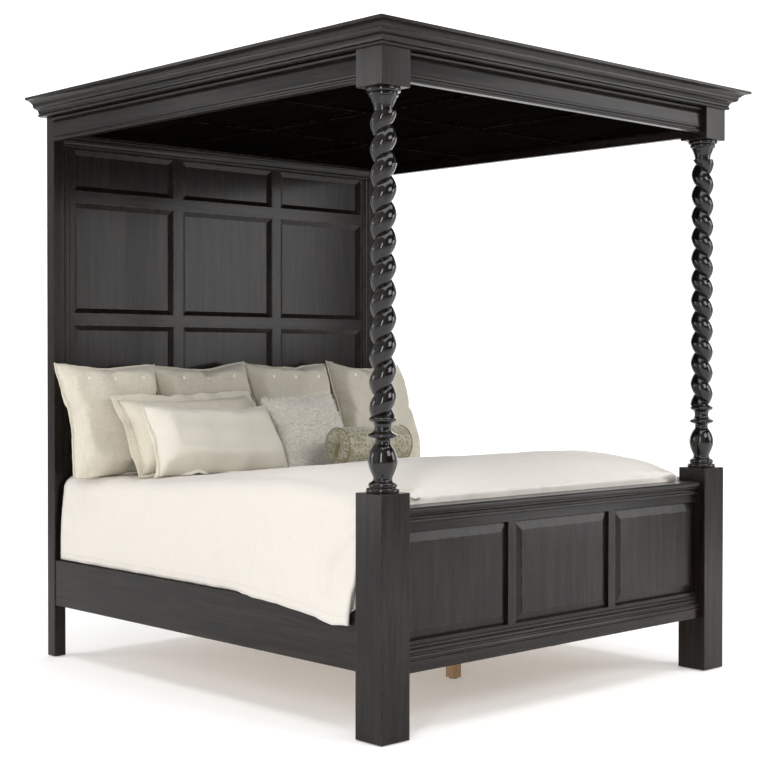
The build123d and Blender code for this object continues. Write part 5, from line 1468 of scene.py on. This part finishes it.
class BED_OT_bolster(bpy.types.Operator):
    """Rolls the figured bolster, with gathered ends, piping and a knotted centre"""

    bl_idname = "bed.bolster"
    bl_label = "Roll the bolster"

    SIDES, KNOT_SIDES = 112, 36

    def execute(self, context):
        finish = figured_cloth("figured_cloth")
        low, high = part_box("bolster")
        radius = (high.y - low.y) / 2
        centre = (low + high) / 2
        half = (high.x - low.x) / 2
        line = [(0.0, half - 0.012), (0.10, half - 0.014), (0.22, half - 0.011), (0.36, half - 0.007),
                (0.50, half - 0.003), (0.64, half), (0.78, half), (0.89, half - 0.004), (0.96, half - 0.011),
                (1.0, half - 0.022)]
        body = [(1.0, x) for x in np.linspace(half - 0.05, 0.05 - half, 22)]
        profile = line + body + [(r, -x) for r, x in line[::-1]]
        turn = np.arange(self.SIDES) / self.SIDES * 2 * math.pi
        rings, cloth, run = [], [], 0.0
        crease = Ripple(61, 0.16, 8)
        for n, (share, x) in enumerate(profile):
            if n:
                run += math.hypot((share - profile[n - 1][0]) * radius, x - profile[n - 1][1])
            gathered = share * (1.03 - share) * 4 * (abs(x) > half - 0.03)
            pleat = 0.0042 * np.cos(turn * 26 + 0.7 * np.sin(turn * 5)) * gathered
            slack = 0.0035 * crease.at(turn * radius, np.full(self.SIDES, x)) * (share > 0.99)
            r = share * radius * 0.985 + slack
            rings.append(np.stack([x + np.sign(x) * pleat, -np.cos(turn) * r, np.sin(turn) * r], 1))
            cloth.append(np.stack([turn * radius, np.full(self.SIDES, run)], 1))
        points = np.concatenate(rings) + np.array(centre)
        made = mesh_piece("bolster_rolled", points, grid_faces(len(profile), self.SIDES, True), finish,
                          np.concatenate(cloth))
        floor = cover_top(points[:, 0], points[:, 1]) + LYING_GAP
        points[:, 2] = np.maximum(points[:, 2], floor)
        move_points(made, points)
        outward(made)
        settle(made, "bolster_weave", "bolster")
        # Piping round both shoulders, and a covered knot in the middle of each end.
        trim = linen("olive_trim", (0.30, 0.27, 0.15), slub=0.4)
        for name, ring in (("left", len(profile) - 9), ("right", 8)):
            line = rings[ring] * np.array([1, 1.012, 1.012]) + np.array(centre)
            piping = sew_line(f"bolster_piping_{name}", line, True, tube_tree(), {"Radius": 0.0032}, trim)
            add_cloth_map(piping)
            settle(piping, "bolster_weave")
        knots = []
        for way in (-1, 1):
            knots += self.knot(centre + Vector((way * (half - 0.010), 0, 0)), way)
        vertices, faces = [], []
        for ball, quads in knots:
            faces += [tuple(i + len(vertices) for i in q) for q in quads]
            vertices += list(ball)
        vertices = np.array(vertices)
        knot = mesh_piece("bolster_knots", vertices, faces, trim, vertices[:, 1:])
        outward(knot)
        settle(knot, "bolster_weave")
        return {"FINISHED"}

    def knot(self, place, way):
        """A ribbed knot with a short hanging tassel."""
        turn = np.arange(self.KNOT_SIDES) / self.KNOT_SIDES * 2 * math.pi
        level = np.ones(self.KNOT_SIDES)
        parts = []
        for size, offset, ribs in ((0.0125, (0, 0, 0), 9), (0.0075, (way * 0.006, 0, -0.017), 7)):
            rings = []
            for k in np.linspace(-1, 1, 11):
                ribbed = (size * math.sqrt(max(0.0, 1 - k * k)) + 1e-5) * (1 + 0.10 * np.cos(turn * ribs))
                rings.append(np.stack([np.cos(turn) * ribbed * 0.7, np.sin(turn) * ribbed,
                                       k * size * level], 1))
            parts.append((rings, offset))
        skirt = []
        for k, r in ((0.0, 0.006), (0.35, 0.009), (0.7, 0.0105), (1.0, 0.0115)):
            ribbed = r * (1 + 0.16 * np.cos(turn * 12))
            drop = (-0.020 - 0.030 * k) * level
            skirt.append(np.stack([np.cos(turn) * ribbed * 0.8, np.sin(turn) * ribbed, drop], 1))
        parts.append((skirt, (way * 0.006, 0, 0)))
        return [(np.concatenate(rings) + np.array(place) + np.array(offset),
                 grid_faces(len(rings), self.KNOT_SIDES, True)) for rings, offset in parts]


# ------------------------------------------------------------------ panel and run
ORDER = ("stage", "frame", "columns", "mattress_set", "coverlet", "square_shams", "long_sham", "lumbar",
         "fur_pillow", "bolster")


class BED_PT_looks(bpy.types.Panel):
    """Sizes, colours and steps of the bed"""

    bl_label = "Four poster bed"
    bl_space_type = "VIEW_3D"
    bl_region_type = "UI"
    bl_category = "Bed"

    def draw(self, context):
        for settings in (context.scene.bed_wood, context.scene.bed_column, context.scene.bed_linen,
                         context.scene.bed_stage):
            box = self.layout.box()
            for name in settings.bl_rna.properties.keys():
                if name not in ("rna_type", "name"):
                    box.prop(settings, name)
        for step in ORDER:
            self.layout.operator(f"bed.{step}")


SETTINGS = {"bed_wood": BedWoodSettings, "bed_column": BedColumnSettings, "bed_linen": BedLinenSettings,
            "bed_stage": BedStageSettings}
CLASSES = (*SETTINGS.values(), BED_OT_stage, BED_OT_frame, BED_OT_columns, BED_OT_mattress_set,
           BED_OT_coverlet, BED_OT_square_shams, BED_OT_long_sham, BED_OT_lumbar, BED_OT_fur_pillow,
           BED_OT_bolster, BED_PT_looks)


def register():
    for kind in CLASSES:
        bpy.utils.register_class(kind)
    for name, kind in SETTINGS.items():
        setattr(bpy.types.Scene, name, PointerProperty(type=kind))


def unregister():
    for name in SETTINGS:
        delattr(bpy.types.Scene, name)
    for kind in reversed(CLASSES):
        bpy.utils.unregister_class(kind)


def main():
    register()
    for step in ORDER:
        getattr(bpy.ops.bed, step)()


if __name__ == "__main__":
    main()
